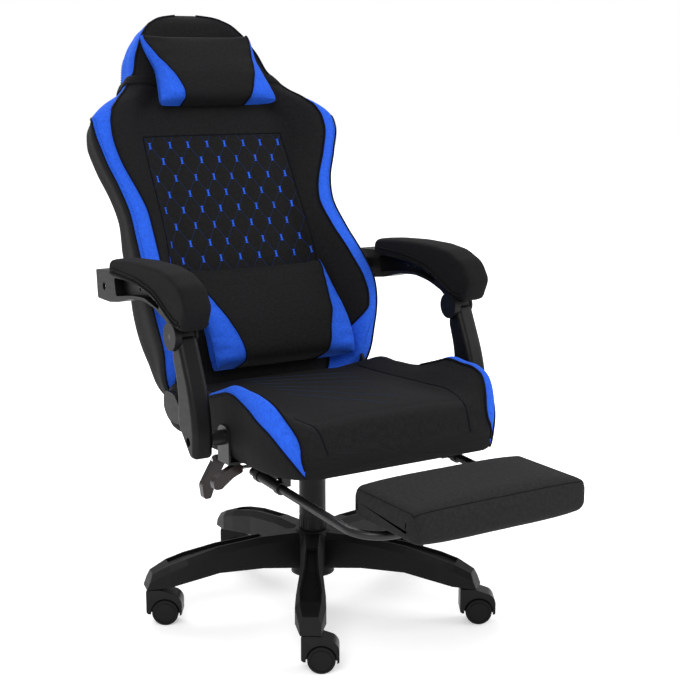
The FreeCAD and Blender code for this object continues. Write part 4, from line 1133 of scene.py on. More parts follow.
@dataclass(frozen=True)
class Stuffing:
    """Plumps a cover by simulating its cloth over inner pressure."""

    voxel: float = 6 * MM
    pressure: float = 4.0
    # how far a point may move
    reach: float = 8 * MM
    frames: int = 20
    # how far from a seam the cloth is still held, in voxels
    hold: float = 2.2
    # how many simulated points move a cover's point
    near: int = 6

    def plump(self, piece: bpy.types.Object, held: np.ndarray) -> None:
        """Swells a piece between its seams.

        Args:
            piece: the cover.
            held: points that seams hold in place.
        """
        copy = self._remeshed(piece)
        rest = points_of(copy)
        self._hold(copy, rest, tree_of(held))
        self._simulate(copy)
        graph = bpy.context.evaluated_depsgraph_get()
        shift = points_of(copy.evaluated_get(graph)) - rest
        size = np.linalg.norm(shift, axis=1, keepdims=True)
        shift *= np.minimum(1.0, self.reach / (size + 1e-9))
        bpy.context.scene.frame_set(1)
        bpy.data.objects.remove(copy)
        self._carry(piece, rest, shift)

    def _remeshed(self, piece: bpy.types.Object) -> bpy.types.Object:
        """A copy of even cloth.

        Args:
            piece: the cover.

        Returns:
            The copy.
        """
        copy = add_object(piece.name + "_sim", piece.data.copy())
        remesh = copy.modifiers.new("remesh", "REMESH")
        remesh.mode, remesh.voxel_size = "VOXEL", self.voxel
        bpy.context.view_layer.update()
        graph = bpy.context.evaluated_depsgraph_get()
        copy.data = bpy.data.meshes.new_from_object(copy.evaluated_get(graph))
        copy.modifiers.clear()
        return copy

    def _hold(self, copy: bpy.types.Object, rest: np.ndarray, seams: KDTree) -> None:
        """Pins the cloth near its seams.

        Args:
            copy: the cloth.
            rest: its points.
            seams: the points that seams hold.
        """
        group = copy.vertex_groups.new(name="held")
        hold = self.hold * self.voxel
        for k, point in enumerate(rest):
            distance = seams.find(point)[2]
            if distance < hold:
                group.add([k], float(1 - 0.5 * distance / hold), "REPLACE")

    def _simulate(self, copy: bpy.types.Object) -> None:
        """Runs the cloth over its inner pressure.

        Args:
            copy: the cloth.
        """
        cloth = copy.modifiers.new("cloth", "CLOTH")
        cloth.settings.quality = 4
        cloth.settings.use_pressure = True
        cloth.settings.uniform_pressure_force = self.pressure
        cloth.settings.vertex_group_mass = "held"
        cloth.settings.effector_weights.gravity = 0.0
        cloth.collision_settings.use_collision = False
        cloth.point_cache.frame_start, cloth.point_cache.frame_end = 1, self.frames
        for number in range(1, self.frames + 1):
            bpy.context.scene.frame_set(number)

    def _carry(self, piece: bpy.types.Object, rest: np.ndarray, shift: np.ndarray) -> None:
        """Moves a piece's points as the simulated cloth near them moved.

        Args:
            piece: the cover.
            rest: the cloth's points before it moved.
            shift: how each of them moved.
        """
        tree = tree_of(rest)
        points = points_of(piece)
        for point in points:
            found = tree.find_n(point, self.near)
            weights = np.array([1.0 / (distance ** 2 + 1e-7) for _, _, distance in found])
            moves = shift[[index for _, index, _ in found]]
            point += (moves * weights[:, None]).sum(axis=0) / weights.sum()
        piece.data.vertices.foreach_set("co", points.reshape(-1))
        piece.data.update()


# ---------------------------------------------------------------- backrest


class Panelled:
    """A cover of sewn panels: half sections that are mirrored, with seams on columns."""

    counts: tuple
    steps: int
    rows: np.ndarray
    skin: Optional[Skin]

    def columns(self, seam: int) -> tuple[int, int]:
        """The columns of a seam on the two sides, right first."""
        total, step = sum(self.counts), int(np.cumsum(self.counts)[seam])
        return total - step, total + step

    def along(self, column: int, low: float, high: float, lift: float) -> tuple[Any, Any, bool]:
        """A run of points along the cover, for a line detail.

        Args:
            column: the column it follows.
            low: the position of its first row.
            high: the position of its last row.
            lift: how far it stands off the cover.

        Returns:
            The points, their normals and that the run is open.
        """
        keep = np.nonzero((self.rows >= low) & (self.rows <= high))[0] + self.steps
        points, normals = self.skin.raised(keep, np.full(len(keep), column), lift)
        return points, normals, False

    def spread(self, stops: Sequence[float]) -> np.ndarray:
        """Where the columns lie along a half section whose seams are at stops."""
        return np.concatenate([np.linspace(a, b, n, endpoint=False) for a, b, n in
                               zip(stops, stops[1:], self.counts)] + [stops[-1:]])

    def panels(self) -> tuple[np.ndarray, np.ndarray]:
        """Which cloth each face is cut from.

        Returns:
            The table of cloths, and each column's place from the middle.
        """
        _, body, blue, total = np.cumsum(self.counts)
        step = np.abs(np.arange(2 * total) + 0.5 - total)
        cover = np.where(step < body, Cover.BODY.value,
                         np.where(step < blue, Cover.BLUE.value, Cover.FLANK.value))
        return np.tile(cover, (len(self.rows) - 1, 1)), step

    def close(self, world: np.ndarray, cover: np.ndarray, map_u: np.ndarray, marks: np.ndarray,
              depth: float) -> None:
        """Closes the cover's ends and keeps its skin.

        Args:
            world: the rows of points.
            cover: the cloth of each face.
            map_u: each point's distance from the middle, along its section.
            marks: the seams' distances.
            depth: how far the ends are domed.
        """
        away = np.min([np.abs(np.abs(map_u) - marks[:, k, None]) for k in (2, 3)], axis=0)
        # the mask of gathers beside the seams, which also paints shade there
        pucker_and_shade = np.exp(-away / PUCKER_AND_SHADE_REACH) * 0.8
        map_v = self.rows[:, None] + np.zeros((1, map_u.shape[1]))
        tables = (padded_rows(v, self.steps) for v in (cover, map_u, map_v, pucker_and_shade[:, :-1]))
        self.skin = Skin(capped(world, self.steps, depth), *tables)


@dataclass
class Backrest(Panelled):
    """The hourglass backrest: cover, piping, stitching, quilting and head strap."""

    lean: Leaning
    finishes: "Finishes"
    details: "Details"
    panel: float = -4 * MM
    # height, half width, bolster front, rear face, rear half width, panel half
    stations: tuple = (
        (-45, 228, 0, -58, 200, 145), (-25, 240, 22, -72, 212, 158),
        (43, 254, 72, -86, 232, 167), (93, 264, 90, -90, 241, 168),
        (143, 268, 94, -90, 243, 168), (203, 264, 78, -87, 239, 164),
        (283, 254, 48, -83, 240, 150), (348, 249, 29, -80, 234, 143),
        (403, 259, 24, -79, 243, 148), (463, 280, 31, -78, 261, 159),
        (518, 291, 42, -76, 270, 166), (554, 282, 41, -74, 260, 160),
        (582, 252, 33, -72, 231, 140), (611, 207, 20, -70, 196, 118),
        (648, 177, 8, -68, 175, 101), (713, 151, 3, -68, 155, 88),
        (758, 122, 0, -66, 127, 70), (785, 93, -5, -60, 99, 52), (799, 62, -11, -52, 68, 34),
        (806, 30, -17, -45, 34, 16))
    # height, how far the blue starts in from the side
    band: tuple = ((-45, 90), (10, 84), (36, 68), (60, 48), (84, 32), (110, 33), (135, 37),
                   (188, 41), (238, 42), (285, 43), (337, 43), (375, 41), (423, 37), (473, 36),
                   (519, 37), (550, 36), (568, 28), (585, 22), (597, 13), (613, 6), (640, 4),
                   (664, 9), (716, 9), (765, 5), (803, 4))
    # height, the share of the way from the front corner to the rear one of the outer seam
    wrap: tuple = ((-45, 0), (470, 0), (540, 60), (565, 350), (590, 850), (608, 1000), (803, 1000))
    quilt_half: tuple = ((190, 178), (240, 175), (355, 170), (455, 169), (525, 166))
    quilt_pitch: float = 44 * MM
    quilt_rise: float = 36.7 * MM
    quilt_top: float = 534 * MM
    quilt_seam: float = 519 * MM
    # in millimetres: how far the quilting puffs up and its seams sink in
    puff: float = 2.2
    dip: float = 2.0
    quilt_low: float = 150 * MM
    strap_height: float = 643 * MM
    strap_width: float = 22 * MM
    strap_middle: float = -33 * MM
    # rows below the quilt, across it and above it
    row_counts: tuple = (55, 103, 80)
    # the places of the bolster's rim, the front corner and the rear corner among the knots
    corner_knots: tuple = (6, 7, 10)
    counts: tuple = (40, 24, 14, 36)
    steps: int = 6
    skin: Optional[Skin] = None
    rows: np.ndarray = field(default_factory=lambda: np.zeros(0))

    def station(self, t: np.ndarray) -> list[np.ndarray]:
        """The section's sizes.

        Args:
            t: heights along the backrest.

        Returns:
            Half width, bolster front, rear face, rear half width and panel half at each height.
        """
        table = np.array(self.stations, float) * MM
        return [smooth_at(table[:, 0], table[:, k], t) for k in range(1, 6)]

    def profile(self, sizes: Sequence[float], grow: float = 0.0) -> np.ndarray:
        """Half a section, from the middle of the front round to the middle of the rear.

        Args:
            sizes: what station gives at the section's height.
            grow: how far outside the cover it runs.

        Returns:
            The section's (x, n) points.
        """
        half, crest, rear, rear_half, foot = sizes
        inset = half - rear_half
        half, crest, rear = half + grow, crest + grow, rear - grow
        panel = min(self.panel, crest) + grow
        depth, bolster = crest - rear, half - foot
        knots = [(0, panel), (foot * 0.35, panel), (foot * 0.70, panel), (foot, panel),
                 (foot + bolster * 0.28, panel + (crest - panel) * 0.55),
                 (foot + bolster * 0.58, crest), (half * 0.95, crest - depth * 0.02),
                 (half, crest - depth * 0.11), (half - inset * 0.30, crest - depth * 0.45),
                 (half - inset * 0.75, rear + depth * 0.20),
                 (half * 0.93 - inset, rear + depth * 0.04), (half * 0.5, rear), (0, rear)]
        return through(np.array(knots), SECTION_STEPS)

    def seams(self, t: float, curve: np.ndarray, half: float) -> list[float]:
        """Where the seams lie along a half section.

        Args:
            t: the height.
            curve: the half section.
            half: its half width.

        Returns:
            Distances of the quilt's edge, the blue's inner and outer seam and the end.
        """
        run = run_length(curve)
        rim, corner, rear = (run[k * SECTION_STEPS] for k in self.corner_knots)
        front = slice(0, self.corner_knots[1] * SECTION_STEPS + 1)
        reach = np.maximum.accumulate(curve[front, 0])
        quilt, inset = float(read_table(self.quilt_half, t)), float(read_table(self.band, t))
        share = float(read_table(self.wrap, t))
        inner = float(np.interp(half - inset, reach + np.arange(len(reach)) * 1e-9, run[front]))
        quilt_at = float(np.interp(min(quilt, 0.86 * (half - inset)), reach, run[front]))
        start = rim + 0.6 * (corner - rim)
        outer = start + share * (rear - start)
        return [quilt_at, inner, max(outer, inner + 6 * MM), float(run[-1])]

    def make_skin(self) -> None:
        """Lays out the cover's rows and columns, with seams on columns."""
        ends = (self.stations[0][0] * MM, self.quilt_low, self.quilt_seam,
                self.stations[-1][0] * MM)
        below, across, above = self.row_counts
        rows = np.concatenate([np.linspace(*ends[0:2], below, endpoint=False),
                               np.linspace(*ends[1:3], across, endpoint=False),
                               np.linspace(*ends[2:4], above)])
        self.rows = rows
        points, map_u, marks = [], [], []
        for t, size in zip(rows, np.stack(self.station(rows), axis=1)):
            curve = self.profile(size)
            stops = [0.0] + self.seams(t, curve, size[0])
            at = self.spread(stops)
            ring = mirrored(resampled(curve, at))
            points.append(np.column_stack([ring, np.full(len(ring), t)]))
            map_u.append(np.concatenate([-at[::-1], at[1:]]))
            marks.append(stops)
        points, marks, map_u = np.array(points), np.array(marks), np.array(map_u)
        points[..., 1] += self._relief(map_u[:, :-1], marks)
        cover, step = self.panels()
        middle = (rows[:-1] + rows[1:]) / 2
        inside = (middle > self.quilt_low) & (middle < self.quilt_seam)
        cover[np.ix_(inside, step < self.counts[0])] = Cover.QUILT.value
        self.close(self.lean.place(*np.moveaxis(points, -1, 0)), cover, map_u, marks, 3 * MM)

    def _relief(self, map_u: np.ndarray, marks: np.ndarray) -> np.ndarray:
        """The quilting's pillows and the dips along the seams.

        Args:
            map_u: each point's distance from the middle, along its section.
            marks: the seams' distances.

        Returns:
            How far each point moves along n.
        """
        t = self.rows[:, None]
        a = map_u / self.quilt_pitch
        b = (t - self.quilt_top) / (2 * self.quilt_rise)
        puff = np.sqrt(np.abs(np.sin(np.pi * (a + b)) * np.sin(np.pi * (a - b))))
        inside = (np.abs(map_u) < marks[:, 1, None] - 1e-6)
        inside &= (t > self.quilt_low) & (t < self.quilt_seam - 2 * MM)
        front = np.abs(map_u) < marks[:, 2, None] - 1e-6
        edge = np.exp(-np.abs(np.abs(map_u) - marks[:, 1, None]) / SEAM_REACH) * front
        edge *= (t > self.quilt_low) * (t < self.quilt_seam + 2 * MM)
        top = np.exp(-np.abs(t - self.quilt_seam) / SEAM_REACH)
        top = top * (np.abs(map_u) < marks[:, 1, None] + 2 * MM)
        return (self.puff * puff * inside - self.dip * np.maximum(edge, top)) * MM

    def dress(self) -> None:
        """Builds the cover and everything sewn on it."""
        f = self.finishes
        self.make_skin()
        piece = self.skin.build("backrest_cover", [f.black, f.blue, f.flank, f.quilted])
        hand_over(piece, "backrest", "back_cushion")
        low, high = self.rows[0], self.rows[-1]
        cords = [self.along(c, low, high, 0.8 * MM) for seam in (1, 2) for c in self.columns(seam)]
        self.details.cord("backrest_piping", "backrest", cords, 2.4 * MM, f.piping)
        first, last = low + 50 * MM, high - 90 * MM
        stitched = [self.along(c - 3 * way, first, last, 0.5 * MM)
                    for c, way in zip(self.columns(2), (-1, 1))]
        self.details.lines(
            self.details.stitches, "backrest_topstitch", "backrest", stitched,
            {"Spacing": 6 * MM, "Size": (4.2 * MM, 1.3 * MM, 1.0 * MM),
             "Material": f.dark_thread})
        self._quilt_seams()
        self._ties()
        self._strap()

    def _quilt_seams(self) -> None:
        """The raised seam round the quilted panel and its thin edging."""
        runs = [self.along(c, self.quilt_low, self.quilt_seam, 1.0 * MM) for c in self.columns(0)]
        row = int(np.argmin(np.abs(self.rows - self.quilt_seam))) + self.steps
        left, right = self.columns(0)
        across = np.arange(left, right + 1)
        points, normals = self.skin.raised(np.full(len(across), row), across, 1.0 * MM)
        runs.append((points, normals, False))
        self.details.cord("quilt_edging", "backrest", runs, 1.3 * MM, self.finishes.piping, 6)

    def _ties(self) -> None:
        """The short blue ties at the quilting's crossings."""
        points, normals, ways = [], [], []
        skin_u = self.skin.map_u[self.steps:-self.steps]
        normal = self.skin.normals()[self.steps:-self.steps]
        place = self.skin.points[self.steps:-self.steps]
        for row in range(-1, 10):
            t = self.quilt_top - row * self.quilt_rise
            k = int(np.argmin(np.abs(self.rows - t)))
            shift = 0.5 if row % 2 else 0.0
            edge = abs(skin_u[k, self.columns(0)[1]]) - 5 * MM
            for i in range(-5, 6):
                u = (i + shift) * self.quilt_pitch
                if abs(u) > edge or t > self.quilt_seam - 10 * MM:
                    continue
                c = int(np.argmin(np.abs(skin_u[k, :-1] - u)))
                points.append(place[k, c] + normal[k, c] * 0.4 * MM)
                normals.append(normal[k, c])
                ways.append(tuple(self.lean.up))
        piece = Details.carrier("quilt_ties", np.array(points), [], normal=np.array(normals),
                                way=np.array(ways))
        self.details.ties.apply(piece, {"Length": 14 * MM, "Width": 8 * MM,
                                        "Material": self.finishes.blue_thread})
        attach(piece, "backrest")
        log.info("quilt_ties: %d ties", len(points))

    def _strap_loop(self) -> np.ndarray:
        """The strap's rings, up its outer face and down its inner one.

        Returns:
            Rows of (x, n, t) points.
        """
        edges = np.array([-1.0, -0.96, -0.5, 0.0, 0.5, 0.96, 1.0])
        lifts = np.array([0.9, 2.9, 3.5, 3.7, 3.5, 2.9, 0.9]) * MM
        clearance = 0.7 * MM
        rings = []
        for t, lift in zip(self.strap_height + edges * self.strap_width / 2, lifts):
            curve = self.profile(self.station(t), grow=lift)
            ring = mirrored(resampled(curve, np.linspace(0, run_length(curve)[-1], 90)))
            rings.append(np.column_stack([ring, np.full(len(ring), t)]))
        outer = np.array(rings)
        inner = outer[::-1].copy()
        spokes = inner[..., :2] - [0.0, self.strap_middle]
        spokes /= np.linalg.norm(spokes, axis=2, keepdims=True)
        inner[..., :2] -= spokes * (lifts[::-1] - clearance)[:, None, None]
        return np.concatenate([outer, inner])

    def _strap(self) -> None:
        """The elastic strap round the head, with its slider."""
        loop = self._strap_loop()
        rows, columns = loop.shape[:2]
        index = np.arange(rows * columns).reshape(rows, columns)
        down, after = np.roll(index, -1, axis=0), np.roll(index, -1, axis=1)
        quads = np.stack([index, after, np.roll(after, -1, axis=0), down], axis=-1)
        world = self.lean.place(*np.moveaxis(loop, -1, 0))
        mesh = bpy.data.meshes.new("neck_strap")
        mesh.from_pydata(world.reshape(-1, 3).tolist(), [], quads.reshape(-1, 4).tolist())
        layer = mesh.uv_layers.new(name="cloth")
        spots = np.zeros(len(mesh.loops), np.int32)
        mesh.loops.foreach_get("vertex_index", spots)
        flat = loop[..., [0, 2]].reshape(-1, 2)[spots]
        layer.data.foreach_set("uv", flat.astype(np.float32).reshape(-1))
        mesh.materials.append(self.finishes.webbing)
        make_outward(mesh)
        soften(mesh)
        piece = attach(add_object("neck_strap", mesh), "backrest")
        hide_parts("head_strap")
        self._slider()

    def _slider(self) -> None:
        """The small plastic slider on the strap, at the sitter's left."""
        half, crest, *_ = self.station(self.strap_height)
        wide, tall, corner, behind = 20 * MM, 28 * MM, 4 * MM, 30 * MM
        outline = rounded_outline([(a * wide / 2, b * tall / 2, corner)
                                   for a, b in ((-1, -1), (1, -1), (1, 1), (-1, 1))], 5)
        rings = []
        for inset, lift in ((1.6, 0.0), (0.0, 0.8), (0.0, 3.4), (1.4, 4.5), (5.5, 4.5), (6.4, 2.6)):
            shrink = 1 - inset * MM * 2 / wide
            rings.append(np.column_stack([outline * [shrink, (tall - 2 * inset * MM) / tall],
                                          np.full(len(outline), lift * MM)]))
        local = np.array(rings)
        world = self.lean.place(half + 1.5 * MM + local[..., 2], crest - behind + local[..., 0],
                                self.strap_height + local[..., 1])
        zeros = np.zeros(world.shape[:2])
        skin = Skin(world, np.zeros((len(rings) - 1, len(outline)), int),
                    np.zeros((len(rings), len(outline) + 1)), zeros, zeros)
        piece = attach(skin.build("strap_slider", [self.finishes.trim_plastic]), "backrest")


# ---------------------------------------------------------------- seat


@dataclass
class Seat(Panelled):
    """The seat cushion with its raised bolsters, blue sweeps and stitched chevrons."""

    finishes: "Finishes"
    details: "Details"
    floor: float = 372 * MM
    crest_inset: float = 13 * MM
    valley_inset: float = 66 * MM
    # how far in from the side the blue starts, and where it narrows to its tip
    band_inset: float = 22 * MM
    tip_start: float = -285 * MM
    tip_end: float = -318 * MM
    tip_share: float = 0.7
    # how deep the seam at the bolster's foot sinks in
    dip: float = 1.6 * MM
    # y, half width, crest height, centre height
    stations: tuple = (
        (-318, 202, 409, 414), (-298, 226, 447, 449), (-263, 247, 496, 463),
        (-225, 254, 512, 466), (-185, 254, 514, 465), (-140, 256, 515, 463),
        (-90, 256, 498, 461), (-30, 256, 478, 458), (60, 255, 470, 454),
        (128, 252, 466, 451), (145, 246, 458, 449))
    # y, how far the blue reaches down the side from the crest
    sweep: tuple = ((-316, 31), (-295, 33), (-253, 41), (-209, 29), (-164, 18), (-134, 14),
                    (-113, 11), (-85, 9), (-59, 8), (-40, 6), (145, 6))
    # y, where the sewn line at the bolster's foot lies
    foot: tuple = ((-316, 156), (-290, 163), (-262, 172), (-225, 182), (-185, 188), (145, 189))
    # the ends of each stitched line, x and y
    fan: tuple = ((-95, 128, 130, 62), (-92, 104, 118, 16), (-87, 72, 104, -38),
                  (-82, 36, 84, -114), (-82, -4, 68, -196), (-88, -56, 20, -238))
    sweep_rear: float = -44 * MM
    # rows along the blue and behind it
    row_counts: tuple = (90, 52)
    # the places of the crest and of the base's middle stretch among the section's knots
    crest_knot: int = 4
    base_knot: int = 8
    counts: tuple = (34, 16, 12, 40)
    steps: int = 8
    skin: Optional[Skin] = None
    rows: np.ndarray = field(default_factory=lambda: np.zeros(0))

    def profile(self, half: float, crest: float, centre: float) -> np.ndarray:
        """Half a section, from the middle of the top round to the middle of the base.

        Args:
            half: half width.
            crest: height of the bolster.
            centre: height of the middle.

        Returns:
            The section's (x, z) points.
        """
        rise = crest - self.floor
        knots = [(0, centre + 3 * MM), (half * 0.35, centre + 3 * MM),
                 (half - self.valley_inset - 6 * MM, centre + 1 * MM),
                 (half - (self.crest_inset + self.valley_inset) / 2, (crest + centre) / 2 + 3 * MM),
                 (half - self.crest_inset, crest),
                 (half - 1.5 * MM, crest - rise * 0.08),
                 (half, self.floor + rise * 0.55), (half, self.floor + rise * 0.2),
                 (half - 12 * MM, self.floor + rise * 0.02), (half * 0.5, self.floor),
                 (0, self.floor)]
        curve = through(np.array(knots), SECTION_STEPS)
        curve[:, 1] = np.maximum(curve[:, 1], self.floor)
        return curve

    def make_skin(self) -> None:
        """Lays out the cover's rows and columns."""
        table = np.array(self.stations, float) * MM
        y = np.concatenate([
            np.linspace(table[0, 0], self.sweep_rear, self.row_counts[0], endpoint=False),
            np.linspace(self.sweep_rear, table[-1, 0], self.row_counts[1])])
        self.rows = y
        points, map_u, marks = [], [], []
        for here, *sizes in zip(y, *(smooth_at(table[:, 0], table[:, k], y) for k in (1, 2, 3))):
            curve = self.profile(*sizes)
            stops = self.seams(here, curve, *sizes[:2])
            at = self.spread(stops)
            ring = resampled(curve, at)
            ring[:, 1] -= self.dip * np.exp(-np.abs(at - stops[1]) / SEAM_REACH)
            ring[:, 1] = np.maximum(ring[:, 1], self.floor)
            whole = mirrored(ring)
            points.append(np.column_stack([whole[:, 0], np.full(len(whole), here), whole[:, 1]]))
            map_u.append(np.concatenate([-at[::-1], at[1:]]))
            marks.append(stops)
        cover, step = self.panels()
        crest, low = np.cumsum(self.counts)[1:3]
        behind = (y[:-1] + y[1:]) / 2 > self.sweep_rear
        cover[np.ix_(behind, (step > crest) & (step < low))] = Cover.FLANK.value
        self.close(np.array(points), cover, np.array(map_u), np.array(marks), 7 * MM)
        self.skin.cover[:self.steps] = Cover.BODY.value
        self.skin.cover[-self.steps:] = Cover.FLANK.value

    def seams(self, y: float, curve: np.ndarray, half: float, crest: float) -> list[float]:
        """Where the seams lie along a half section.

        Args:
            y: the section's place along the seat.
            curve: the half section.
            half: its half width.
            crest: the height of its bolster.

        Returns:
            Distances of the middle, the bolster's foot, the blue's two seams and the end.
        """
        run = run_length(curve)
        corner = self.crest_knot * SECTION_STEPS
        top, side = slice(0, corner + 1), slice(corner, self.base_knot * SECTION_STEPS)
        reach = np.maximum.accumulate(curve[top, 0])
        foot = min(float(read_table(self.foot, y)), half - 34 * MM)
        at_foot = float(np.interp(foot, reach, run[top]))
        upper = float(np.interp(half - self.band_inset, reach, run[top]))
        fall = np.maximum.accumulate(crest - curve[side, 1])
        lower = float(np.interp(float(read_table(self.sweep, y)),
                                fall + np.arange(len(fall)) * 1e-9, run[side]))
        lower = max(lower, upper + 4 * MM)
        tip = np.clip((y - self.tip_start) / (self.tip_end - self.tip_start), 0, 1)
        upper += (lower - upper) * self.tip_share * float(tip) ** 3
        return [0.0, at_foot, upper, lower, run[-1]]

    def dress(self) -> None:
        """Builds the cover and its sewn lines."""
        f = self.finishes
        self.make_skin()
        piece = self.skin.build("seat_cover", [f.black, f.blue, f.flank, f.quilted])
        hand_over(piece, "seat", "seat_cushion")
        front, rear = self.rows[0], self.rows[-1]
        cords = [self.along(c, front, self.sweep_rear, 0.8 * MM)
                 for seam in (1, 2) for c in self.columns(seam)]
        self.details.cord("seat_piping", "seat", cords, 2.4 * MM, f.piping)
        seams = [self.along(c, front, rear - 20 * MM, 0.6 * MM) for c in self.columns(0)]
        self.details.cord("seat_foot_seam", "seat", seams, 1.2 * MM, f.piping, 6)
        self._chevrons()

    def _chevrons(self) -> None:
        """Faint stitched lines that fan forward across the seat's middle."""
        normal = self.skin.normals()[self.steps:-self.steps]
        place = self.skin.points[self.steps:-self.steps]
        runs = []
        for line in self.fan:
            x0, y0, x1, y1 = (v * MM for v in line)
            share = np.linspace(0, 1, 60)
            spots = np.column_stack([x0 + (x1 - x0) * share, y0 + (y1 - y0) * share])
            rows = np.abs(self.rows[None] - spots[:, 1:]).argmin(axis=1)
            middle = slice(self.columns(0)[0], self.columns(0)[1] + 1)
            columns = np.array([int(np.abs(place[r, middle, 0] - x).argmin())
                                for r, x in zip(rows, spots[:, 0])]) + middle.start
            height = smoothed(place[rows, columns, 2], 8)
            runs.append((np.column_stack([spots, height + 0.3 * MM]), normal[rows, columns], False))
        self.details.lines(self.details.stitches, "seat_chevrons", "seat", runs, {
            "Spacing": 4.4 * MM, "Size": (4.2 * MM, 1.5 * MM, 1.0 * MM),
            "Material": self.finishes.chevron_thread})


# ---------------------------------------------------------------- pillows


@dataclass
class Pillow:
    """A stuffed pillow on the backrest, with blue ends sewn to a black middle."""

    name: str
    node: str
    body: str
    lean: Leaning
    finishes: "Finishes"
    details: "Details"
    corners: tuple
    # height, half width
    halves: tuple
    # height, how far forward the ends' edge stands
    edge: tuple
    # height, how far from the middle the blue starts
    seam: tuple
    # height, how far the pillow hangs to the sitter's left
    hang: tuple
    sag: float = 8 * MM
    # how square the ends are, and the share of the thickness left at their edge
    square: float = 4.2
    thin: float = 0.07
    crease: float = 0.55 * MM
    fill: float = 0.7
    seed: int = 3
    stuffing: Stuffing = Stuffing()
    counts: tuple = (24, 64, 24)
    around: int = 132

    def outline(self) -> np.ndarray:
        """The side outline.

        Returns:
            Evenly spaced (n, t) points, bottom rear first.
        """
        loop = rounded_outline([(n * MM, t * MM, r * MM) for n, t, r in self.corners], 10)
        loop = np.concatenate([loop, loop[:1]])
        return resampled(loop, np.linspace(0, run_length(loop)[-1], self.around + 1)[:-1])

    def lay_out(self) -> None:
        """Places the cover's points, its seams on rows."""
        loop = self.outline()
        n, t = loop[:, 0], loop[:, 1]
        half, edge_n = read_table(self.halves, t), read_table(self.edge, t)
        seam = np.minimum(read_table(self.seam, t), half - 6 * MM)
        stops = np.stack([-half, -seam, seam, half])
        first, last = self.counts[0], self.counts[0] + self.counts[1]
        ease = [1 - np.cos(np.linspace(0, 1, self.counts[0], endpoint=False) * np.pi / 2),
                np.linspace(0, 1, self.counts[1], endpoint=False),
                np.sin(np.linspace(0, 1, self.counts[2] + 1) * np.pi / 2)]
        x = np.concatenate([stops[k] + (stops[k + 1] - stops[k]) * ease[k][:, None]
                            for k in range(3)])
        out = np.abs(x) / half
        round_off = np.power(np.clip(1 - np.power(out, self.square), 0, 1), 2 / self.square)
        thick = self.thin + (1 - self.thin) * round_off
        deep = edge_n + (n - edge_n) * thick
        deep = np.maximum(deep, n.min())
        centre = (t.min() + t.max()) / 2
        tall = t + np.sign(t - centre) * self.sag * (np.clip(out, 0, 1) ** 5 - 0.35) * (
            np.abs(t - centre) / (t.max() - centre))
        deep += self._creases(x, tall, out) * (n > n.min() + 8 * MM)
        self.rear = n < n.min() + 3 * MM
        world = self.lean.place(x + read_table(self.hang, t), deep, tall)
        map_v = np.tile(run_length(loop), (len(x), 1))
        map_x = np.concatenate([x, x[:, :1]], axis=1)
        away = np.minimum(np.abs(x - stops[1]), np.abs(x - stops[2]))
        # the mask of gathers beside the seams and at the ends, which also paints shade there
        pucker_and_shade = np.maximum(np.exp(-away / (8 * MM)), np.exp(-(half - np.abs(x)) / (14 * MM)))
        cover = np.full((len(x) - 1, len(n)), Cover.BODY.value)
        cover[:first] = cover[last:] = Cover.BLUE.value
        self.seam_rows = (first, last)
        self.skin = Skin(world, cover, map_x, map_v, pucker_and_shade)

    def _creases(self, x: np.ndarray, t: np.ndarray, out: np.ndarray) -> np.ndarray:
        """Soft creases that fan in from the ends.

        Args:
            x: each point's place across the pillow.
            t: its height.
            out: its share of the way to the end.

        Returns:
            How far each point moves along n.
        """
        chance = np.random.default_rng(self.seed)
        waves = np.zeros_like(x)
        for _ in range(5):
            tilt, phase = chance.uniform(-0.5, 0.5), chance.uniform(0, 2 * np.pi)
            length = chance.uniform(22, 52) * MM
            waves += np.sin(2 * np.pi * (t + tilt * np.abs(x)) / length + phase)
        return waves * self.crease * smooth_step(0.55, 0.93, out) * (1 - smooth_step(0.97, 1, out))

    def build(self) -> bpy.types.Object:
        """Makes the pillow, its piping and its seams.

        Returns:
            The pillow.
        """
        self.lay_out()
        f = self.finishes
        piece = self.skin.build(self.name, [f.black, f.blue])
        world = self.skin.points
        held = [world[r, ::3] for r in (0, *self.seam_rows, len(world) - 1)]
        behind = world[:, self.rear][::4].reshape(-1, 3)
        self.stuffing.plump(piece, np.concatenate([*held, behind[::3]]))
        hand_over(piece, self.body, self.node)
        self.skin.points = points_of(piece).reshape(world.shape)
        self._piping()
        return piece

    def _piping(self) -> None:
        """The cords along the two seams."""
        every = np.arange(self.around)
        runs = [(*self.skin.raised(np.full(self.around, row), every, 0.3 * MM), True)
                for row in self.seam_rows]
        self.details.cord(self.name + "_piping", self.body, runs, 1.8 * MM, self.finishes.piping)


def head_pillow(lean: Leaning, finishes: Finishes, details: Details) -> Pillow:
    """The neck pillow.

    Args:
        lean: the backrest's directions.
        finishes: the finishes.
        details: the line details.

    Returns:
        The pillow, not yet built.
    """
    return Pillow(
        "neck_pillow", "head_pillow", "head_pillow", lean, finishes, details,
        corners=((4.6, 576, 9), (66, 582, 24), (64, 636, 40), (30, 738, 10), (4.6, 738, 9)),
        halves=((566, 134), (585, 137), (603, 134), (630, 129), (665, 125), (695, 129),
                (722, 132), (740, 130)),
        edge=((566, 58), (600, 50), (640, 36), (690, 22), (740, 14)),
        seam=((576, 76), (585, 78), (612, 86), (640, 96), (664, 104), (695, 115), (724, 124),
              (738, 127)),
        hang=((566, 2), (640, 2), (700, -3), (740, -4)),
        stuffing=Stuffing(reach=6 * MM, pressure=5.0))


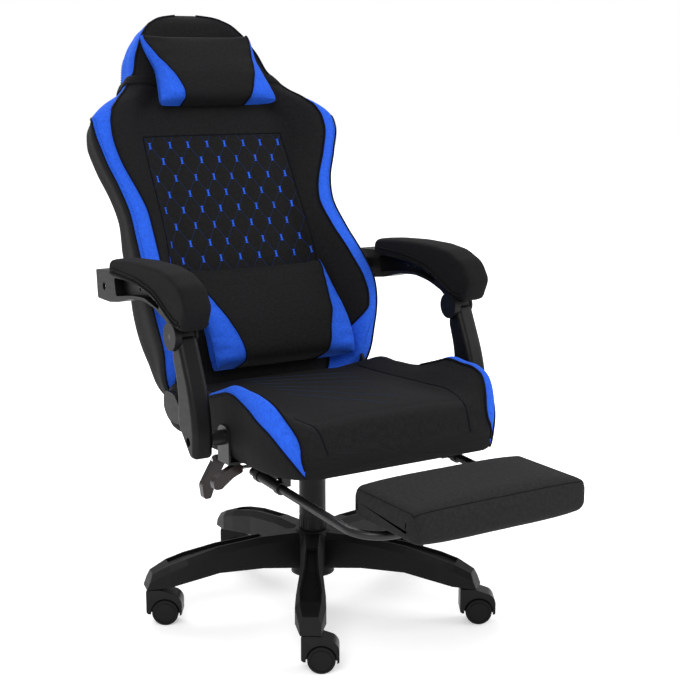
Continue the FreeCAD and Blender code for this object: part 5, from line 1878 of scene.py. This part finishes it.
def lumbar_cushion(lean: Leaning, finishes: Finishes, details: Details) -> Pillow:
    """The lumbar cushion.

    Args:
        lean: the backrest's directions.
        finishes: the finishes.
        details: the line details.

    Returns:
        The cushion, not yet built.
    """
    return Pillow(
        "lumbar_pillow", "lumbar_cushion", "lumbar_cushion", lean, finishes, details,
        corners=((-2.4, -8, 14), (94, -6, 32), (94, 80, 60), (52, 204, 22), (-2.4, 204, 12)),
        halves=((-14, 163), (30, 166), (80, 164), (130, 162), (180, 162), (206, 160)),
        edge=((-14, 72), (40, 76), (90, 68), (150, 50), (206, 34)),
        seam=((-12, 96), (20, 102), (45, 108), (80, 121), (115, 131), (150, 142), (180, 151),
              (204, 156)),
        hang=((-14, 17), (80, 16), (150, 11), (206, 7)),
        sag=7 * MM, fill=0.75, seed=8, stuffing=Stuffing(reach=6 * MM, voxel=7 * MM),
        counts=(26, 68, 26), around=156)


# ---------------------------------------------------------------- upholstered blocks


@dataclass
class Block:
    """An upholstered block: a side outline carried across X, its edges rounded."""

    name: str
    node: str
    body: str
    material: bpy.types.Material
    slot: str
    # y, height and corner radius
    corners: tuple
    low: float
    high: float
    edge: float
    crown: float = 1.5 * MM
    fill: float = 0.7
    # points round the outline, rows on each rounded edge and rows between them
    around: int = 150
    steps: int = 7
    across: int = 26
    stuffing: Stuffing = Stuffing(voxel=5 * MM, reach=3 * MM, frames=16)

    def inward(self, loop: np.ndarray) -> np.ndarray:
        """The ways into an outline.

        Args:
            loop: the outline's points.

        Returns:
            A unit vector at each point.
        """
        way = np.roll(loop, -1, axis=0) - np.roll(loop, 1, axis=0)
        side = np.column_stack([-way[:, 1], way[:, 0]])
        side /= np.linalg.norm(side, axis=1, keepdims=True)
        area = float(np.sum(loop[:, 0] * np.roll(loop[:, 1], -1)
                            - np.roll(loop[:, 0], -1) * loop[:, 1]))
        return side * np.sign(area)

    def lay_out(self) -> Skin:
        """Places the block's points.

        Returns:
            The cover.
        """
        loop = rounded_outline([(y * MM, z * MM, r * MM) for y, z, r in self.corners], 10)
        closed = np.concatenate([loop, loop[:1]])
        loop = resampled(closed, np.linspace(0, run_length(closed)[-1], self.around + 1)[:-1])
        side = self.inward(loop)
        turn = np.linspace(0, np.pi / 2, self.steps, endpoint=False)
        middle = np.linspace(0, 1, self.across)
        width = self.high - self.low - 2 * self.edge
        x = np.concatenate([self.low + self.edge * (1 - np.cos(turn)),
                            self.low + self.edge + width * middle,
                            (self.high - self.edge * (1 - np.cos(turn)))[::-1]])
        inset = np.concatenate([self.edge * (1 - np.sin(turn)),
                                -self.crown * (1 - (2 * middle - 1) ** 4),
                                (self.edge * (1 - np.sin(turn)))[::-1]])
        flat = loop[None] + side[None] * inset[:, None, None]
        points = np.concatenate([np.broadcast_to(x[:, None, None], flat.shape[:2] + (1,)), flat],
                                axis=2)
        run = run_length(np.concatenate([loop, loop[:1]]))
        self.loop, self.side = loop, side
        self.rims = (self.steps // 2, len(x) - 1 - self.steps // 2)
        face = np.zeros((len(x) - 1, self.around), int)
        # the mask of gathers along the rims, which also paints shade there
        pucker_and_shade = np.zeros(flat.shape[:2])
        for rim in self.rims:
            pucker_and_shade += 0.5 * np.exp(-np.abs(x - x[rim]) / (5 * MM))[:, None]
        return Skin(points, face, np.tile(run, (len(x), 1)),
                    np.tile(x[:, None], (1, self.around)), pucker_and_shade)

    def build(self) -> Skin:
        """Makes the block.

        Returns:
            Its cover, for what is sewn on it.
        """
        skin = self.lay_out()
        piece = skin.build(self.name, [self.material])
        held = np.concatenate([skin.points[rim, ::2] for rim in self.rims])
        self.stuffing.plump(piece, held)
        skin.points = points_of(piece).reshape(skin.points.shape)
        hand_over(piece, self.body, self.node)
        return skin


@dataclass
class Armrests:
    """The two padded arm tops with their double piping."""

    finishes: "Finishes"
    details: "Details"
    half: float = 28 * MM
    corners: tuple = (
        (212, 710, 16), (150, 717, 400), (70, 722, 300), (-10, 722, 200), (-64, 716, 90),
        (-112, 697, 45), (-136, 662, 22), (-116, 618, 14), (-88, 619, 20), (-55, 633, 40),
        (0, 661, 90), (70, 674, 120), (145, 677, 300), (212, 679, 4))
    # how high the flanks' cords lie, and where they end along Y
    ridges: tuple = (2.5, 10.5)
    ridge_ends: tuple = (-118 * MM, 200 * MM)

    def dress(self) -> None:
        """Builds both pads."""
        for side in Side:
            word = side.name.lower()
            low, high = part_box(word + "_arm_pad")
            block = Block(word + "_arm_cushion", word + "_arm_pad", word + "_arm",
                          self.finishes.pad, "black_fabric", self.corners, low.x, high.x,
                          edge=9 * MM, crown=1.2 * MM,
                          stuffing=Stuffing(voxel=5 * MM, reach=1.5 * MM, frames=12))
            block.build()
            self._ridges(block, word)

    def _ridges(self, block: Block, word: str) -> None:
        """Two cords along each flank, above the pad's lower edge.

        Args:
            block: the pad.
            word: the pad's side.
        """
        front, rear = self.ridge_ends
        keep = (block.side[:, 1] > 0.3) & (block.loop[:, 0] > front)
        keep &= block.loop[:, 0] < rear
        order = np.nonzero(keep)[0]
        order = order[np.argsort(-block.loop[order, 0])]
        runs = []
        for x, out in ((block.low, -1.0), (block.high, 1.0)):
            for rise in self.ridges:
                flat = block.loop[order] + block.side[order] * (block.edge * 0.6 + rise * MM)
                points = np.column_stack([np.full(len(flat), x + out * 0.6 * MM), flat])
                smoothed(points, 6)
                runs.append((points, np.tile([out, 0.0, 0.0], (len(points), 1)), False))
        self.details.cord(word + "_arm_piping", word + "_arm", runs, 2.0 * MM,
                          self.finishes.pad_cord)


@dataclass
class Footrest:
    """The footrest's box cushion with its sewn edges."""

    finishes: "Finishes"
    details: "Details"
    round: float = 19.0
    inset: float = 5 * MM

    def dress(self) -> None:
        """Builds the pad and the seams round its top."""
        low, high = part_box("footrest_pad")
        front, rear, base, top = (v / MM for v in (low.y, high.y, low.z, high.z))
        r = self.round
        block = Block("footrest_cushion", "footrest_pad", "footrest",
                      self.finishes.heather, "heather_fabric",
                      ((front, base, r), (front, top, r + 2), (rear, top, r + 2), (rear, base, r)),
                      low.x, high.x, edge=25 * MM, crown=4 * MM, fill=0.8, steps=12,
                      stuffing=Stuffing(voxel=7 * MM, reach=2.5 * MM, frames=16))
        skin = block.build()
        columns = skin.points.shape[1]
        near = np.abs(block.loop[:, 1] - (top * MM - self.inset))
        at_front = int(np.argmin(near + (block.loop[:, 0] > front * MM + 0.05) * 1.0))
        at_rear = int(np.argmin(near + (block.loop[:, 0] < rear * MM - 0.05) * 1.0))
        across = np.arange(block.rims[0], block.rims[1] + 1)
        runs = []
        for column in (at_front, at_rear):
            runs.append((*skin.raised(across, np.full(len(across), column), 0.1 * MM), False))
        for rim in block.rims:
            points, normal = skin.raised(np.full(columns, rim), np.arange(columns), 0.1 * MM)
            keep = np.nonzero(points[:, 2] > top * MM - 2.6 * self.inset)[0]
            order = keep[np.argsort(points[keep, 1])]
            runs.append((points[order], normal[order], False))
        self.details.cord("footrest_welt", "footrest", runs, 0.9 * MM, self.finishes.pad_cord, 6,
                          "heather_fabric")


# ---------------------------------------------------------------- plastics and metals


@dataclass
class Hardware:
    """The rigid pieces: their finishes, and the ribbed neck of the rear lever."""

    finishes: "Finishes"
    details: "Details"
    ring_count: int = 6

    def dress(self) -> None:
        """Gives each carried-over piece its finish."""
        slots = {s["node"]: s["material_slot"] for s in frame["record"]["subparts"]}
        trim = ("side_covers", "column_collar", "column_sleeve")
        for node, piece in frame["nodes"].items():
            material = self.finishes.for_slot(slots[node])
            if node in trim:
                material = self.finishes.trim_plastic
            elif "_wheel_" in node:
                material = self.finishes.tread
            elif "knuckle_pin" in node:
                material = self.finishes.painted
            piece.data.materials.clear()
            piece.data.materials.append(material)
        log.info("finished %d solids", len(frame["nodes"]))
        self._bellows()

    def _bellows(self) -> None:
        """Soft rings round the neck of the recline lever's grip."""
        low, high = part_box("recline_grip")
        joint = {j["name"]: j for j in frame["joints"]}["recline_lever"]["pos_m"]
        x = np.linspace(high.x - 16 * MM, high.x - 1 * MM, self.ring_count)
        points = np.column_stack([x, np.full(len(x), joint[1]), np.full(len(x), joint[2])])
        ways = np.tile([0.0, 0.0, 1.0], (len(x), 1))
        piece = Details.carrier("lever_bellows", points, [], way=ways,
                                normal=np.tile([1.0, 0.0, 0.0], (len(x), 1)))
        self.details.rings.apply(piece, {"Radius": 7.6 * MM, "Thickness": 1.4 * MM,
                                         "Material": self.finishes.lever})
        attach(piece, "recline_lever")


# ---------------------------------------------------------------- studio


@dataclass(frozen=True)
class Studio:
    """A pale floor, soft lamps and the camera."""

    camera_at: tuple = (-1.362, -2.303, 1.0843)
    azimuth: float = -31.8
    pitch: float = 11.3
    lens: float = 72.8
    lamps: tuple = (((-1.9, -2.2, 2.6), 1.7, 62.0), ((2.4, -1.4, 1.7), 1.6, 34.0),
                    ((0.2, 1.9, 2.7), 1.8, 46.0))
    ambient: float = 0.55
    floor_half: float = 14.0
    # where the floor starts and ends to brighten, and its glow there
    glow: tuple = ((0.45, 0.42), (1.5, 1.0))

    def build(self) -> None:
        """Makes the floor, the lamps, the sky and the camera."""
        self._floor()
        for index, (place, size, power) in enumerate(self.lamps):
            self._lamp(index, Vector(place), size, power)
        self._sky()
        self._camera()

    def _floor(self) -> None:
        """A wide pale floor that keeps the chair's shadow."""
        mesh = bpy.data.meshes.new("studio_floor")
        mesh.from_pydata([(x * self.floor_half, y * self.floor_half, 0)
                          for x, y in ((-1, -1), (1, -1), (1, 1), (-1, 1))], [], [(0, 1, 2, 3)])
        g = Graph("floor_finish")
        clouds = g.noise(3.0, detail=2.0)
        matte = g.finish(g.ramp(clouds, 0.2, 0.8, (0.86, 0.86, 0.86), (0.89, 0.89, 0.89)), 0.9,
                         g.bump(clouds, 0.02, 0.1 * MM), Specular_IOR_Level=0.1)
        away = g.add("ShaderNodeVectorMath", {0: g.coords}, operation="LENGTH").outputs["Value"]
        (near_at, near), (far_at, far) = self.glow
        strength = g.spread(away, near, far, near_at, far_at)
        glow = g.add("ShaderNodeEmission", {"Color": (1, 1, 1, 1), "Strength": strength})
        path = g.add("ShaderNodeLightPath")
        seen = g.math("MAXIMUM", path.outputs["Is Camera Ray"], path.outputs["Is Glossy Ray"])
        seen = g.math("MAXIMUM", seen, path.outputs["Is Transmission Ray"])
        both = g.add("ShaderNodeAddShader", {0: g.shader.outputs[0], 1: glow.outputs[0]})
        final = g.add("ShaderNodeMixShader", {0: seen, 1: g.shader.outputs[0], 2: both.outputs[0]})
        g.feed(g.output.inputs["Surface"], final.outputs[0])
        mesh.materials.append(matte)
        add_object("studio_floor", mesh)

    def _lamp(self, index: int, place: Vector, size: float, power: float) -> None:
        """One large soft lamp turned to the chair.

        Args:
            index: its number.
            place: where it hangs.
            size: its edge.
            power: its strength in watts.
        """
        data = bpy.data.lights.new("lamp_%d" % index, "AREA")
        data.size, data.energy = size, power
        lamp = bpy.data.objects.new(data.name, data)
        lamp.location = place
        lamp.rotation_euler = (Vector((0, 0, 0.6)) - place).to_track_quat("-Z", "Y").to_euler()
        bpy.context.scene.collection.objects.link(lamp)

    def _sky(self) -> None:
        """A white background that lights the chair only softly."""
        world = bpy.data.worlds.new("studio")
        bpy.context.scene.world = world
        world.use_nodes = True
        nodes = Nodes()
        nodes.tree = world.node_tree
        nodes.tree.nodes.clear()
        soft, bright = (nodes.add("ShaderNodeBackground", {
            "Color": (1, 1, 1, 1), "Strength": strength}) for strength in (self.ambient, 1.0))
        path = nodes.add("ShaderNodeLightPath")
        seen = nodes.math("MAXIMUM", path.outputs["Is Camera Ray"],
                          path.outputs["Is Transmission Ray"])
        mix = nodes.add("ShaderNodeMixShader", {
            0: seen, 1: soft.outputs[0], 2: bright.outputs[0]})
        nodes.add("ShaderNodeOutputWorld", {"Surface": mix.outputs[0]})

    def _camera(self) -> None:
        """The camera, in front and to the sitter's right."""
        turn, tip = math.radians(self.azimuth), math.radians(self.pitch)
        back = Vector((math.sin(turn) * math.cos(tip), -math.cos(turn) * math.cos(tip),
                       math.sin(tip)))
        right = Vector((math.cos(turn), math.sin(turn), 0))
        up = back.cross(right)
        data = bpy.data.cameras.new("camera")
        data.lens, data.sensor_width = self.lens, 36.0
        data.clip_end = 60.0
        camera = bpy.data.objects.new("camera", data)
        camera.matrix_world = Matrix((
            (right.x, up.x, back.x, self.camera_at[0]), (right.y, up.y, back.y, self.camera_at[1]),
            (right.z, up.z, back.z, self.camera_at[2]), (0, 0, 0, 1)))
        bpy.context.scene.collection.objects.link(camera)
        bpy.context.scene.camera = camera


def main() -> None:
    """Builds the chair's looks in order."""
    logging.basicConfig(level=logging.INFO, format="%(name)s: %(message)s")
    bpy.context.scene.view_settings.view_transform = "Standard"
    Studio().build()
    finishes, details, lean = Finishes(), Details(), Leaning.of_frame()
    Hardware(finishes, details).dress()
    Backrest(lean, finishes, details).dress()
    Seat(finishes, details).dress()
    head_pillow(lean, finishes, details).build()
    lumbar_cushion(lean, finishes, details).build()
    Armrests(finishes, details).dress()
    Footrest(finishes, details).dress()
    log.info("sizes kept")


if __name__ == "__main__":
    main()
